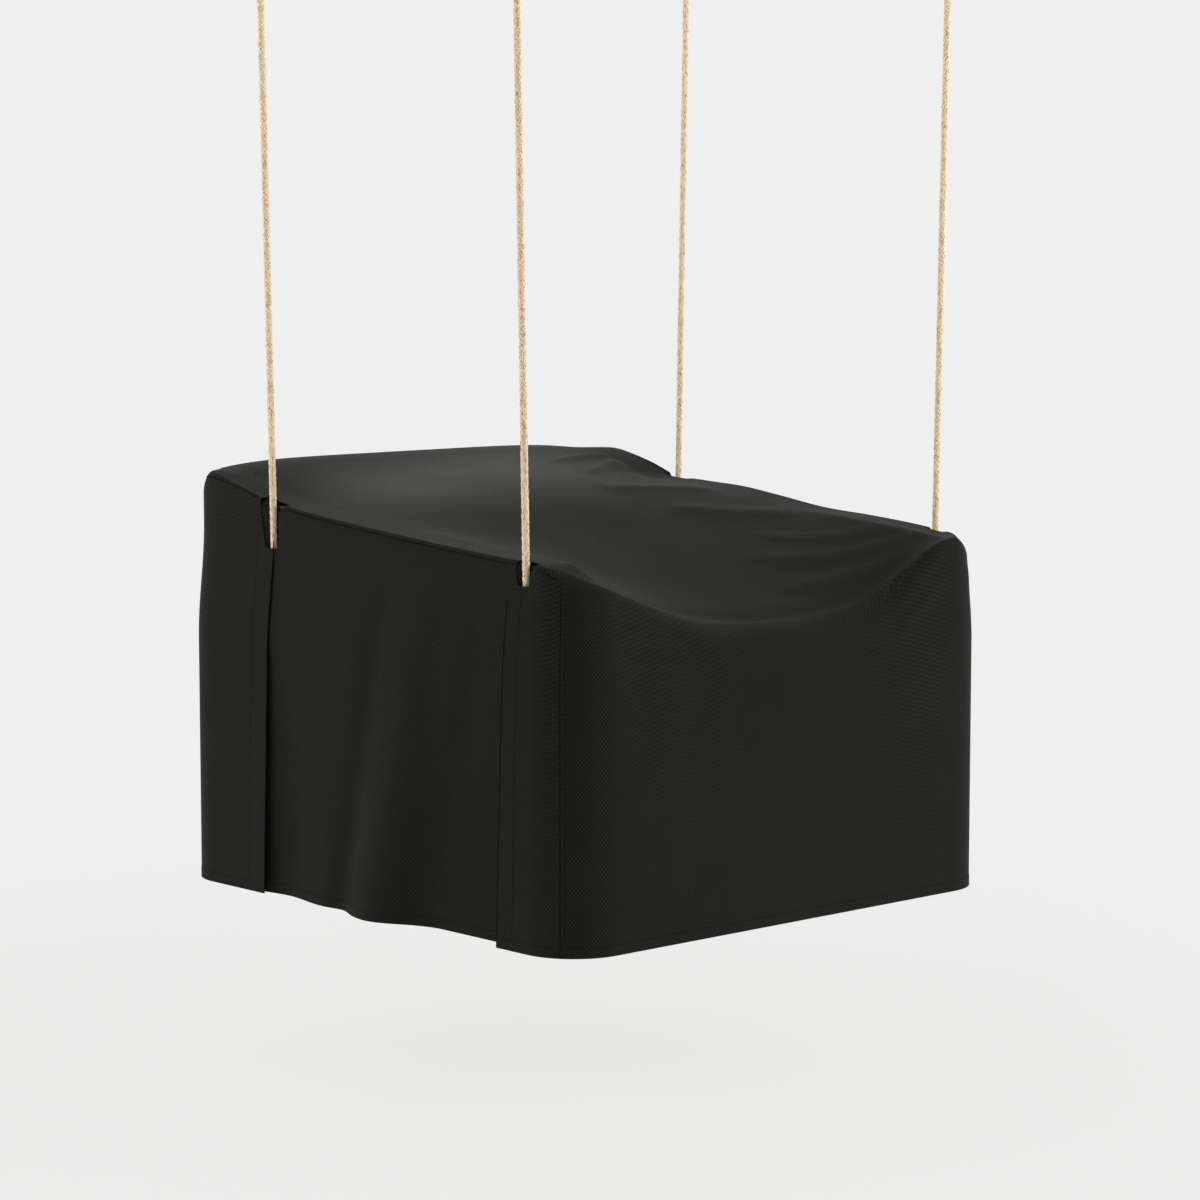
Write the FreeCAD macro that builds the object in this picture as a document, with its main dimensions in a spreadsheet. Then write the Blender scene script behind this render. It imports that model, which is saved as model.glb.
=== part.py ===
import FreeCAD, Part
import math
import os
import re

from FreeCAD import Placement, Rotation, Vector

# A garden swing under its weather cover. It hangs on four ropes from beam hangers.
# The origin is the centre of the four studs on the underside of the beam. +Z is up, the front is -Y.
# Heights above the hem of the cover become Z by taking hem_drop away.

SIZES = {
    # hanging
    "hem_drop": (1930, "beam underside to the hem of the cover"),
    "beam_span_x": (1046, "stud spacing across"),
    "beam_span_y": (686, "stud spacing fore and aft, and rope spacing all the way down"),
    "arm_span_x": (1000, "rope spacing across at the arm guides"),
    # beam hanger
    "stud_diameter": (12, "stud through the beam"),
    "stud_length": (130, "stud above the beam's underside"),
    "flange_diameter": (64, "flange against the beam"),
    "flange_thickness": (6, "flange against the beam"),
    "cheek_gap": (24, "clear width between the cheeks"),
    "cheek_thickness": (5, "cheek plate"),
    "cheek_width": (26, "cheek plate, fore and aft"),
    "pivot_drop": (42, "pivot bolt below the beam"),
    "pivot_diameter": (10, "pivot bolt"),
    "bush_diameter": (16, "outside of the bush on the pivot bolt"),
    "pivot_clearance": (0.05, "radial running clearance"),
    "hex_radius": (9.8, "corner radius of the bolt head and nut"),
    "head_height": (6.4, "bolt head"),
    "nut_height": (10, "lock nut"),
    "bolt_end": (3, "bolt standing out of the nut"),
    # swing link
    "boss_diameter": (30, "eye of the link on the bush"),
    "boss_gap": (1, "side play of the link between the cheeks"),
    "neck_diameter": (14, "neck between the eye and the ring"),
    "neck_length": (23, "pivot to the centre line of the ring's top"),
    "link_rod": (10, "rod of the ring"),
    "ring_radius": (17, "centre line of the ring's round ends"),
    "ring_leg": (14, "straight sides of the ring"),
    # rope
    "rope_diameter": (14, "braided rope"),
    "thimble_radius": (12, "inside of the thimble's crown"),
    "thimble_thickness": (2, "thimble sheet"),
    "thimble_width": (15, "thimble across"),
    "eye_length": (62, "centre of the crown to the throat of the rope eye"),
    "splice_diameter": (21, "splice at the throat"),
    "splice_length": (70, "taper of the splice"),
    "splice_lead": (10, "splice above the throat"),
    "soft_gap": (0.3, "soft pieces to their neighbours"),
    "bend_gap": (0.45, "rope to its knotted end, at the bend"),
    "knot_diameter": (24, "stopper knot at the lower end"),
    "knot_height": (28, "stopper knot at the lower end"),
    "knot_tail": (26, "rope end below the stopper knot"),
    # rope guide on the arm post
    "guide_clearance": (1.5, "radial room for the rope in the guide"),
    "guide_wall": (2, "guide outside the hole"),
    "guide_thickness": (5, "tongue of the guide"),
    "plate_width": (38, "plate of a guide"),
    "plate_height": (44, "plate of a guide"),
    "plate_thickness": (4, "plate of a guide"),
    "plate_drop": (10, "top of a guide's plate above its tongue's middle"),
    # seat frame
    "guide_reach": (35, "posts' outer faces to the ropes' middle"),
    "frame_width": ("=arm_span_x - 2 * guide_reach", "over the posts and base rails"),
    "base_height": (40, "underside of the base rails above the hem"),
    "tube_side": (40, "square tube"),
    "tube_wall": (2.5, "square tube"),
    "cap_flange": (3, "head of an end cap"),
    "cap_depth": (18, "plug of an end cap"),
    "cap_clearance": (0.2, "plug in the tube"),
    "seat_slat_width": (70, "seat slat"),
    "seat_slat_thickness": (15, "seat slat"),
    "seat_slat_inset": (12, "outer slats to the side rails' inner faces"),
    "screw_diameter": (6, "slat screw"),
    "screw_head": (12, "slat screw head"),
    "screw_head_height": (3, "slat screw head"),
    "screw_length": (22, "slat screw under its head"),
    "screw_clearance": (0.15, "radial room in the screw holes"),
    "arm_thickness": (24, "armrest board"),
    "arm_corner": (22, "rounding of the armrest's front corners"),
    # back
    "back_recline": (7, "lean of the back, degrees"),
    "back_rail_diameter": (36, "top rail of the back"),
    "crown_room": (14.9, "top rail of the back to the highest place of the cover"),
    "back_length": ("=(cover_height - crown_room - base_height - tube_side) / cos(back_recline)"
                    " - back_rail_diameter", "back upright"),
    "lower_rail_rise": (190, "lower rail of the back along the upright"),
    "back_slat_width": (62, "back slat"),
    "back_slat_thickness": (12, "back slat"),
    "back_slat_inset": (14, "outer back slats to the uprights"),
    # cushions
    "cushion_side_gap": (6, "cushions to the posts"),
    "back_cushion_room": (160, "rear edge of the seat cushion to the back upright's foot"),
    "seat_cushion_depth": ("=seat_cushion_front + back_foot - back_cushion_room", "seat cushion"),
    "seat_cushion_height": (160, "seat cushion at its crown"),
    "back_cushion_thickness": (150, "back cushion at its crown"),
    "back_cushion_rise": (184, "foot of the back cushion along the upright"),
    "back_cushion_headroom": (60, "top of the back cushion below the upright's end"),
    "back_cushion_height": ("=back_length - back_cushion_rise - back_cushion_headroom", "back cushion"),
    "cushion_corner": (55, "corner radius of a cushion"),
    "cushion_draw": (10, "how far a cushion's sides are drawn in"),
    # cover
    "cover_corner": (104, "plan radius of the corners"),
    "cover_height": (771, "hem to the top of the back"),
    "edge_lean": (16, "side walls lean in at the top"),
    "cloth": (2, "cloth with its lining"),
    "flap_gap": (0.8, "flap to the side panel"),
    "fold_out": (25, "side panel's fold at the hem, outwards"),
    "fold_in": (14, "side panel's fold at the hem, inwards"),
    "fold_slack": (3, "slack of the other stretches at the hem"),
    "seam_lip": (14, "turned edge of the top panel"),
    "flap_lap": (30, "side panel behind the free edge of a flap"),
    "slot_front_rise": (14, "foot of the front rope slots above the arm guides"),
    "slot_rear_rise": (30, "foot of the rear rope slots above the arm guides"),
    "slot_front": ("=guide_height + slot_front_rise", "foot of the front rope slots above the hem"),
    "slot_rear": ("=guide_height + slot_rear_rise", "foot of the rear rope slots above the hem"),
    "slot_margin": (1.6, "room beside the rope in its slot"),
    "slot_fan": (11.5, "half angle of the rope slots, degrees"),
    "overrun": (60, "how far a cutting tool runs past its piece"),
}
# sizes that keep step with a leading size: that size, the share of it, and what it is
FOLLOWING_SHARES = {
    "guide_height": ("cover_height", 0.77562, "height of the arm guides, where the ropes bend"),
    "arm_height_front": ("cover_height", 0.834, "top of the armrest at the front ropes"),
    "arm_height_rear": ("cover_height", 0.9105, "top of the armrest at the rear ropes"),
    "arm_width": ("arm_span_x", 0.058, "armrest board"),
    "arm_outside": ("arm_span_x", 0.487, "outer edge of the armrest from the middle"),
    "cover_width": ("arm_span_x", 1.044, "at the hem"),
    "slot_inside": ("arm_span_x", 0.488, "inner side of the rope slots from the middle"),
    "frame_front": ("beam_span_y", 0.6414, "front end of the base rails from the ropes' middle"),
    "frame_rear": ("beam_span_y", 0.8163, "rear end of the base rails from the ropes' middle"),
    "arm_overhang": ("beam_span_y", 0.0816, "armrest ahead of the front ropes"),
    "back_foot": ("beam_span_y", 0.6851, "back upright on the base rail from the ropes' middle"),
    "seat_cushion_front": ("beam_span_y", 0.6195, "front of the seat cushion from the ropes' middle"),
    "cover_depth": ("beam_span_y", 1.5889, "at the hem"),
    "cover_middle": ("beam_span_y", 0.105, "middle of the cover behind the ropes' middle"),
    "flap_front": ("beam_span_y", 0.2682, "front face to the free edge of the front flap"),
    "flap_rear": ("beam_span_y", 0.3819, "back face to the free edge of the rear flap"),
}
for alias, (leader, share, note) in FOLLOWING_SHARES.items():
    SIZES[alias] = (f"={leader} * {share}", note)
SEAT_SLATS = 9
BACK_SLATS = 8
# levels of the cover's walls, shares of cover_height
WALL_LEVEL_SHARES = (0, 0.216, 0.432, 0.648, 0.864, 1.08)
# how far the hem's folds have faded at the highest level
FOLD_FADE_SHARE = 0.9
# front and back walls lean by this share of the side walls' lean
END_LEAN_SHARE = 0.2
# ends of the side panel's fold, shares of the cover's depth from its middle
FOLD_END_SHARES = (-0.174, 0.092)
# the corner seams stand where the corner arc has turned half way
CORNER_SEAM_SHARE = 1 - math.sqrt(0.5)
# top of the cover from front to back: shares of half the depth, then height shares at the edge,
# at the shoulder, at the middle, and the shoulder's bulge as a share of cover_corner
TOP_STATION_SHARES = (
    (-1.055, 0.800, 0.770, 0.636, -0.01),
    (-0.750, 0.847, 0.845, 0.718, 0.02),
    (-0.445, 0.863, 0.863, 0.790, 0.02),
    (-0.140, 0.880, 0.880, 0.842, 0.02),
    (0.165, 0.899, 0.900, 0.886, 0.02),
    (0.470, 0.920, 0.928, 0.935, 0.03),
    (0.775, 0.948, 0.980, 0.979, 0.05),
    (1.080, 0.944, 0.984, 0.988, 0.06),
)
# the edge and shoulder stations as shares of half the cover's width, and the drop outside the edge
EDGE_SHARE = 0.958
SHOULDER_SHARE = 0.815
OUTSIDE_SHARE = 1.25
OUTSIDE_DROP_SHARE = 0.09
# cushion from its foot to its crown: height share, how far in as a share of the height
CUSHION_LEVEL_SHARES = ((0.0, 0.15), (0.33, 0.01), (0.66, 0.03), (1.0, 0.42))

doc = FreeCAD.newDocument("garden_swing")
sheet = doc.addObject("Spreadsheet::Sheet", "sizes")
for row, (alias, (value, note)) in enumerate(SIZES.items(), start=1):
    sheet.set(f"A{row}", note)
    sheet.setAlias(f"B{row}", alias)
for row, (value, note) in enumerate(SIZES.values(), start=1):
    sheet.set(f"B{row}", str(value))
doc.recompute()

nodes = []


def size(alias):
    """A driving dimension as a number."""
    return float(sheet.get(alias))


def formula(text):
    """An expression with the sheet's name put before each alias."""
    return re.sub(r"[a-z][a-z_]*", lambda m: "sizes." + m.group() if m.group() in SIZES else m.group(), text)


def bind(obj, **formulas):
    """Binds properties of an object to formulas of the sheet's aliases."""
    for name, text in formulas.items():
        obj.setExpression(name, formula(text))
    return obj


def move(obj, x="0", y="0", z="0", axis=None, angle="0"):
    """Binds an object's Placement: a place, and a turn about one axis."""
    if axis is not None:
        obj.Placement = Placement(Vector(), Rotation(axis, 1))
        obj.setExpression("Placement.Rotation.Angle", formula(angle))
    for name, text in (("x", x), ("y", y), ("z", z)):
        obj.setExpression("Placement.Base." + name, formula(text))
    return obj


def box(name, length, width, height, x="0", y="0", z="0"):
    obj = doc.addObject("Part::Box", name)
    return move(bind(obj, Length=length, Width=width, Height=height), x, y, z)


def cylinder(name, radius, height, x="0", y="0", z="0", axis=None, angle="90"):
    obj = doc.addObject("Part::Cylinder", name)
    return move(bind(obj, Radius=radius, Height=height), x, y, z, axis, angle)


def rod_x(name, radius, length, x, y, z):
    """A cylinder that runs along +X from a place."""
    return cylinder(name, radius, length, x, y, z, Vector(0, 1, 0))


def hexagon_x(name, radius, length, x, y, z):
    """A hexagonal prism that runs along +X from a place."""
    obj = doc.addObject("Part::Prism", name)
    obj.Polygon = 6
    return move(bind(obj, Circumradius=radius, Height=length), x, y, z, Vector(0, 1, 0), "90")


def cut(name, base, tool):
    obj = doc.addObject("Part::Cut", name)
    obj.Base = base
    obj.Tool = tool
    return obj


def fuse(name, *shapes):
    obj = doc.addObject("Part::MultiFuse", name)
    obj.Shapes = list(shapes)
    return obj


def group(name, *parts):
    obj = doc.addObject("Part::Compound", name)
    obj.Links = list(parts)
    return obj


def mirror(name, source, normal):
    obj = doc.addObject("Part::Mirroring", name)
    obj.Source = source
    obj.Normal = normal
    return obj


def feature(name, shape, placement=None):
    """A shape that Part's functions made, as an object of the document."""
    obj = doc.addObject("Part::Feature", name)
    obj.Shape = shape
    if placement is not None:
        obj.Placement = placement
    return obj


def node(label, obj):
    """Marks an object as a sub-part with a file of its own."""
    obj.Label = label
    nodes.append(obj)
    return obj


def four(label, source):
    """One node of four equal solids, mirrored from the front left corner."""
    right = mirror(label + "_right", source, Vector(1, 0, 0))
    front = group(label + "_front", source, right)
    rear = mirror(label + "_rear", front, Vector(0, 1, 0))
    return node(label, group(label + "_all", front, rear))


def corners(label, source):
    """Four nodes of one solid each, mirrored from the front left corner."""
    node(label + "_front_left", source)
    front_right = node(label + "_front_right", mirror(label + "_fr", source, Vector(1, 0, 0)))
    node(label + "_rear_left", mirror(label + "_rl", source, Vector(0, 1, 0)))
    node(label + "_rear_right", mirror(label + "_rr", front_right, Vector(0, 1, 0)))


def sides(label, source):
    """Two nodes, mirrored from the left."""
    node(label + "_left", source)
    node(label + "_right", mirror(label + "_r", source, Vector(1, 0, 0)))


# Places that many pieces share, at the front left corner.
STUD_X = "-beam_span_x / 2"
STUD_Y = "-beam_span_y / 2"
HEM = "-hem_drop"
BASE_TOP = "(base_height + tube_side - hem_drop)"
POST_FACE = "frame_width / 2"


def beam_hangers():
    """Stud, flange and two cheeks with the pivot's bore, one piece on each corner."""
    stud = cylinder("stud", "stud_diameter / 2", "stud_length + flange_thickness", STUD_X, STUD_Y, "-flange_thickness")
    flange = cylinder("flange", "flange_diameter / 2", "flange_thickness", STUD_X, STUD_Y, "-flange_thickness")
    solids = [stud, flange]
    for name, start in (("inner", "cheek_gap / 2"), ("outer", "-cheek_gap / 2 - cheek_thickness")):
        x = f"{STUD_X} + {start}"
        solids.append(box(f"cheek_{name}", "cheek_thickness", "cheek_width", "pivot_drop - flange_thickness",
                          x, f"{STUD_Y} - cheek_width / 2", "-pivot_drop"))
        solids.append(rod_x(f"cheek_{name}_end", "cheek_width / 2", "cheek_thickness", x, STUD_Y, "-pivot_drop"))
    bore = rod_x("hanger_bore", "pivot_diameter / 2 + pivot_clearance", "cheek_gap + 2 * cheek_thickness + overrun",
                 f"{STUD_X} - cheek_gap / 2 - cheek_thickness - overrun / 2", STUD_Y, "-pivot_drop")
    four("beam_hangers", cut("hanger", fuse("hanger_blank", *solids), bore))


def pivot_bolts():
    """Hexagon bolts along X through the cheeks, their lock nuts, and the bushes between the cheeks."""
    head_x = f"{STUD_X} - cheek_gap / 2 - cheek_thickness - head_height"
    nut_x = f"{STUD_X} + cheek_gap / 2 + cheek_thickness"
    head = hexagon_x("bolt_head", "hex_radius", "head_height", head_x, STUD_Y, "-pivot_drop")
    shank_length = "head_height + cheek_gap + 2 * cheek_thickness + nut_height + bolt_end"
    shank = rod_x("bolt_shank", "pivot_diameter / 2", shank_length, head_x, STUD_Y, "-pivot_drop")
    four("hanger_pivot_bolts", fuse("pivot_bolt", head, shank))
    blank = hexagon_x("nut_blank", "hex_radius", "nut_height", nut_x, STUD_Y, "-pivot_drop")
    bore = rod_x("nut_bore", "pivot_diameter / 2 + pivot_clearance", "nut_height + overrun",
                 f"{nut_x} - overrun / 2", STUD_Y, "-pivot_drop")
    four("hanger_lock_nuts", cut("lock_nut", blank, bore))
    bush_x = f"{STUD_X} - cheek_gap / 2"
    outside = rod_x("bush_outside", "bush_diameter / 2", "cheek_gap", bush_x, STUD_Y, "-pivot_drop")
    inside = rod_x("bush_inside", "pivot_diameter / 2 + pivot_clearance", "cheek_gap + overrun",
                   f"{bush_x} - overrun / 2", STUD_Y, "-pivot_drop")
    four("hanger_bushes", cut("bush", outside, inside))


def ring_wire(radius, leg):
    """An upright oval in the XZ plane about the middle of its lower round end."""
    top = Vector(0, 0, leg)
    edges = []
    diagonal = radius * math.sqrt(0.5)
    for centre, sign in ((Vector(), -1), (top, 1)):
        crown = centre + Vector(0, 0, sign * radius)
        for side in (-1, 1):
            end = centre + Vector(side * radius, 0, 0)
            middle = centre + Vector(side * diagonal, 0, sign * diagonal)
            edges.append(Part.Arc(end, middle, crown).toShape())
    for side in (-1, 1):
        foot = Vector(side * radius, 0, 0)
        edges.append(Part.LineSegment(foot, foot + top).toShape())
    return Part.Wire(Part.__sortEdges__(edges))


def sway_drop():
    """Beam to the axis across which the rope eye turns: the centre of the ring's lower round end."""
    return size("pivot_drop") + size("neck_length") + size("ring_radius") + size("ring_leg")


def swing_links():
    """An eye on the bush, and below it a ring of round rod that the rope's thimble hangs in."""
    radius = size("ring_radius")
    rod = size("link_rod") / 2
    wire = ring_wire(radius, size("ring_leg"))
    start = wire.Edges[0].valueAt(wire.Edges[0].FirstParameter)
    tangent = wire.Edges[0].tangentAt(wire.Edges[0].FirstParameter)
    section = Part.Wire(Part.makeCircle(rod, start, tangent))
    ring = wire.makePipeShell([section], True, True)
    rise = sway_drop() - size("pivot_drop")
    along = Vector(1, 0, 0)
    width = size("cheek_gap") - 2 * size("boss_gap")
    left = Vector(-width / 2, 0, rise)
    boss = Part.makeCylinder(size("boss_diameter") / 2, width, left, along)
    neck_foot = size("ring_leg") + radius
    neck = Part.makeCylinder(size("neck_diameter") / 2, rise - neck_foot, Vector(0, 0, neck_foot))
    bore_radius = size("bush_diameter") / 2 + size("pivot_clearance")
    reach = Vector(size("overrun") / 2, 0, 0)
    bore = Part.makeCylinder(bore_radius, width + size("overrun"), left - reach, along)
    shape = ring.fuse([boss, neck]).cut(bore).removeSplitter()
    place = Placement(Vector(-size("beam_span_x") / 2, -size("beam_span_y") / 2, -sway_drop()), Rotation())
    corners("swing_link", feature("link", shape, place))


def rope_frame():
    """The front left rope's own frame: its origin is on the sway axis, and -Z runs down the rope."""
    top = Vector(-size("beam_span_x") / 2, -size("beam_span_y") / 2, -sway_drop())
    foot = Vector(-size("arm_span_x") / 2, top.y, size("guide_height") - size("hem_drop"))
    run = foot - top
    lean = math.degrees(math.atan2(run.x, -run.z))
    return Placement(top, Rotation(Vector(0, 1, 0), -lean)), run.Length


def crown_drop():
    """Sway axis to the centre of the thimble's crown, which rests on the curve of the ring's rod."""
    inside = size("ring_radius") - size("link_rod") / 2
    rest = math.sqrt(inside ** 2 - (size("thimble_width") / 2) ** 2)
    return rest - size("soft_gap") + size("thimble_radius")


def eye_angle():
    """Half the angle between the two legs of the rope eye."""
    loop = size("thimble_radius") + size("thimble_thickness") + size("soft_gap") + size("rope_diameter") / 2
    return math.asin(loop / size("eye_length")), loop


def teardrop(radius, angle, centre):
    """A closed teardrop in the YZ plane: a round crown and two straight legs that meet below."""
    tip = centre - Vector(0, 0, radius / math.sin(angle))
    crown = centre + Vector(0, 0, radius)
    edges = []
    for side in (-1, 1):
        touch = centre + Vector(0, side * radius * math.cos(angle), -radius * math.sin(angle))
        turn = (math.pi / 2 - angle) / 2
        middle = centre + Vector(0, side * radius * math.cos(turn), radius * math.sin(turn))
        edges.append(Part.LineSegment(tip, touch).toShape())
        edges.append(Part.Arc(touch, middle, crown).toShape())
    return edges


def thimbles():
    angle, _ = eye_angle()
    place, _ = rope_frame()
    width = size("thimble_width")
    centre = Vector(-width / 2, 0, -crown_drop())
    outer = size("thimble_radius") + size("thimble_thickness")
    wires = [Part.Wire(Part.__sortEdges__(teardrop(r, angle, centre))) for r in (outer, size("thimble_radius"))]
    blank, hole = [Part.Face(w).extrude(Vector(width, 0, 0)) for w in wires]
    corners("thimble", feature("thimble", blank.cut(hole), place))


def rope_solid():
    """A rope with its spliced upper eye, hollowed at its lower end round the bend in the guide."""
    angle, loop = eye_angle()
    radius = size("rope_diameter") / 2
    _, length = rope_frame()
    centre = Vector(0, 0, -crown_drop())
    throat = centre - Vector(0, 0, size("eye_length"))
    edges = teardrop(loop, angle, centre)
    halves = []
    for leg, arc in ((edges[0], edges[1]), (edges[2], edges[3])):
        path = Part.Wire([leg, arc])
        start = leg.valueAt(leg.FirstParameter)
        section = Part.Wire(Part.makeCircle(radius, start, leg.tangentAt(leg.FirstParameter)))
        halves.append(path.makePipeShell([section], True, True))
    lead = size("splice_lead")
    collar = Part.makeCylinder(size("splice_diameter") / 2, lead, throat)
    taper = Part.makeCone(radius, size("splice_diameter") / 2, size("splice_length"),
                          throat - Vector(0, 0, size("splice_length")))
    run = Part.makeCylinder(radius, length + throat.z, Vector(0, 0, -length))
    solid = halves[0].fuse([halves[1], collar, taper, run]).removeSplitter()
    return solid.cut(Part.makeSphere(radius + size("bend_gap"), Vector(0, 0, -length)))


def tail_solid(cupped):
    """The rope's end below the arm guide, with its stopper knot."""
    radius = size("rope_diameter") / 2
    _, length = rope_frame()
    top = Vector(0, 0, -length)
    rim_share = (radius + size("guide_clearance")) / (size("knot_diameter") / 2)
    seat_drop = size("knot_height") / 2 * math.sqrt(1 - rim_share ** 2)
    knot_drop = size("guide_thickness") / 2 + size("soft_gap") + seat_drop
    drop = knot_drop + size("knot_height") / 2 + size("knot_tail")
    run = Part.makeCylinder(radius, drop, top - Vector(0, 0, drop))
    knot = Part.makeSphere(size("knot_diameter") / 2)
    stretch = FreeCAD.Matrix()
    stretch.scale(1, 1, size("knot_height") / size("knot_diameter"))
    knot = knot.transformGeometry(stretch)
    knot.translate(top - Vector(0, 0, knot_drop))
    solid = run.fuse(knot)
    if cupped:
        return solid.cut(Part.makeSphere(radius + size("soft_gap"), top))
    return solid.fuse(Part.makeSphere(radius, top)).removeSplitter()


def ropes():
    """Each rope bends at its arm guide, so its hanging run and its knotted end are separate there."""
    place, length = rope_frame()
    across, back = Vector(1, 0, 0), Vector(0, 1, 0)
    corners("rope", feature("rope", rope_solid(), place))
    node("rope_tail_front_left", feature("tail_fl", tail_solid(True), place))
    tail = feature("tail_open", tail_solid(False), place)
    tail_right = node("rope_tail_front_right", mirror("tail_fr", tail, across))
    node("rope_tail_rear_left", mirror("tail_rl", tail, back))
    node("rope_tail_rear_right", mirror("tail_rr", tail_right, back))
    bend = Part.makeSphere(size("rope_diameter") / 2, Vector(0, 0, -length))
    node("rope_bend_front_left", feature("bend_fl", bend, place))


def rope_x(height):
    """Formula for the distance of the rope's middle from the centre plane at a height above the hem."""
    drop = "(pivot_drop + neck_length + ring_radius + ring_leg)"
    slope = f"(beam_span_x - arm_span_x) / 2 / (hem_drop - {drop} - guide_height)"
    return f"(arm_span_x / 2 + ({height} - guide_height) * {slope})"


def tongue(name, height, reach, hole_radius):
    """A plate that stands out from the frame's face round the rope, with a round end and a hole."""
    x = f"-{rope_x(height)}"
    z = f"{height} - guide_thickness / 2 - hem_drop"
    flat = box(name + "_flat", f"{rope_x(height)} - {POST_FACE}", f"2 * ({reach})", "guide_thickness",
               x, f"{STUD_Y} - ({reach})", z)
    end = cylinder(name + "_end", reach, "guide_thickness", x, STUD_Y, z)
    hole = cylinder(name + "_hole", hole_radius, "guide_thickness + overrun", x, STUD_Y, f"{z} - overrun / 2")
    return fuse(name + "_blank", flat, end), hole


def rope_guides():
    """Guides on the arm posts: a plate and a tongue with the rope's hole."""
    guide_hole = "rope_diameter / 2 + guide_clearance"
    blank, hole = tongue("guide_tongue", "guide_height", f"{guide_hole} + guide_wall", guide_hole)
    plate = box("guide_plate", "plate_thickness", "plate_width", "plate_height",
                f"-{POST_FACE} - plate_thickness", f"{STUD_Y} - plate_width / 2",
                f"guide_height + plate_drop - plate_height {HEM}")
    four("rope_guides", cut("guide", fuse("guide_solid", blank, plate), hole))


def tube(name, length, width, height, x, y, z, along):
    """A square tube of the frame, open at both ends along one axis."""
    outer = box(name + "_outer", length, width, height, x, y, z)
    places = {"x": x, "y": y, "z": z}
    spans = {"x": length, "y": width, "z": height}
    for key in "xyz":
        if key == along:
            places[key] = f"{places[key]} - overrun / 2"
            spans[key] = f"{spans[key]} + overrun"
        else:
            places[key] = f"{places[key]} + tube_wall"
            spans[key] = f"{spans[key]} - 2 * tube_wall"
    inner = box(name + "_inner", spans["x"], spans["y"], spans["z"], places["x"], places["y"], places["z"])
    return cut(name, outer, inner)


RAIL_X = f"-{POST_FACE}"
CROSS_LENGTH = "frame_width - 2 * tube_side"
CROSS_PLACES = (("front", "-frame_front"), ("middle", "(frame_rear - frame_front) / 2 - tube_side / 2"),
                ("rear", "frame_rear - tube_side"))
SLAT_PITCH = f"(({CROSS_LENGTH} - 2 * seat_slat_inset - seat_slat_width) / {SEAT_SLATS - 1})"


def slat_x(index):
    return f"-({CROSS_LENGTH}) / 2 + seat_slat_inset + {SLAT_PITCH} * {index}"


def screws(name, clearance, rise):
    """Sunk slat screws over the front and rear cross rails, or the holes for them."""
    solids = []
    for index in range(SEAT_SLATS):
        x = f"{slat_x(index)} + seat_slat_width / 2"
        for place, rail_y in (CROSS_PLACES[0], CROSS_PLACES[2]):
            y = f"{rail_y} + tube_side / 2"
            top = f"{BASE_TOP} + seat_slat_thickness"
            label = f"{name}_{place}_{index}"
            shank = cylinder(label, f"screw_diameter / 2 + {clearance}", "screw_length", x, y, f"{top} - screw_length")
            head = cylinder(label + "_head", f"screw_head / 2 + {clearance}", f"screw_head_height + {rise}",
                            x, y, f"{top} - screw_head_height")
            solids.append(fuse(label + "_whole", shank, head))
    return group(name, *solids)


def base_frame():
    """Side rails, cross rails, end caps, and seat slats screwed to the cross rails."""
    rail_length = "frame_front + frame_rear"
    rail = tube("base_rail", "tube_side", rail_length, "tube_side", RAIL_X, "-frame_front", f"base_height {HEM}", "y")
    sides("base_rail", rail)
    cross = [tube("cross_" + name, CROSS_LENGTH, "tube_side", "tube_side", f"-({CROSS_LENGTH}) / 2", y,
                  f"base_height {HEM}", "x") for name, y in CROSS_PLACES]
    holes = screws("screw_hole", "screw_clearance", "overrun")
    node("base_cross_rails", cut("drilled_cross_rails", group("cross_rails", *cross), holes))
    slats = []
    for index in range(SEAT_SLATS):
        slats.append(box(f"seat_slat_{index}", "seat_slat_width", rail_length, "seat_slat_thickness",
                         slat_x(index), "-frame_front", BASE_TOP))
    node("seat_slats", cut("drilled_slats", group("slats", *slats), holes))
    node("slat_screws", screws("slat_screw", "0", "0"))
    caps = []
    plug_side = "tube_side - 2 * tube_wall - 2 * cap_clearance"
    inset = "tube_wall + cap_clearance"
    for name, head_y, plug_y in (("front", "-frame_front - cap_flange", "-frame_front"),
                                 ("rear", "frame_rear", "frame_rear - cap_depth")):
        head = box(f"cap_{name}_head", "tube_side", "cap_flange", "tube_side", RAIL_X, head_y, f"base_height {HEM}")
        plug = box(f"cap_{name}_plug", plug_side, "cap_depth", plug_side, f"{RAIL_X} + {inset}", plug_y,
                   f"base_height + {inset} {HEM}")
        cap = fuse("cap_" + name, head, plug)
        caps += [cap, mirror(f"cap_{name}_right", cap, Vector(1, 0, 0))]
    node("rail_end_caps", group("caps", *caps))


ARM_SLOPE = "atan((arm_height_rear - arm_height_front) / beam_span_y)"
ARM_END = "(back_foot + (arm_height_rear - base_height - tube_side) * tan(back_recline) - tube_side)"
ARM_LENGTH = f"(({ARM_END} + beam_span_y / 2 + arm_overhang) / cos({ARM_SLOPE}))"


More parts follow.
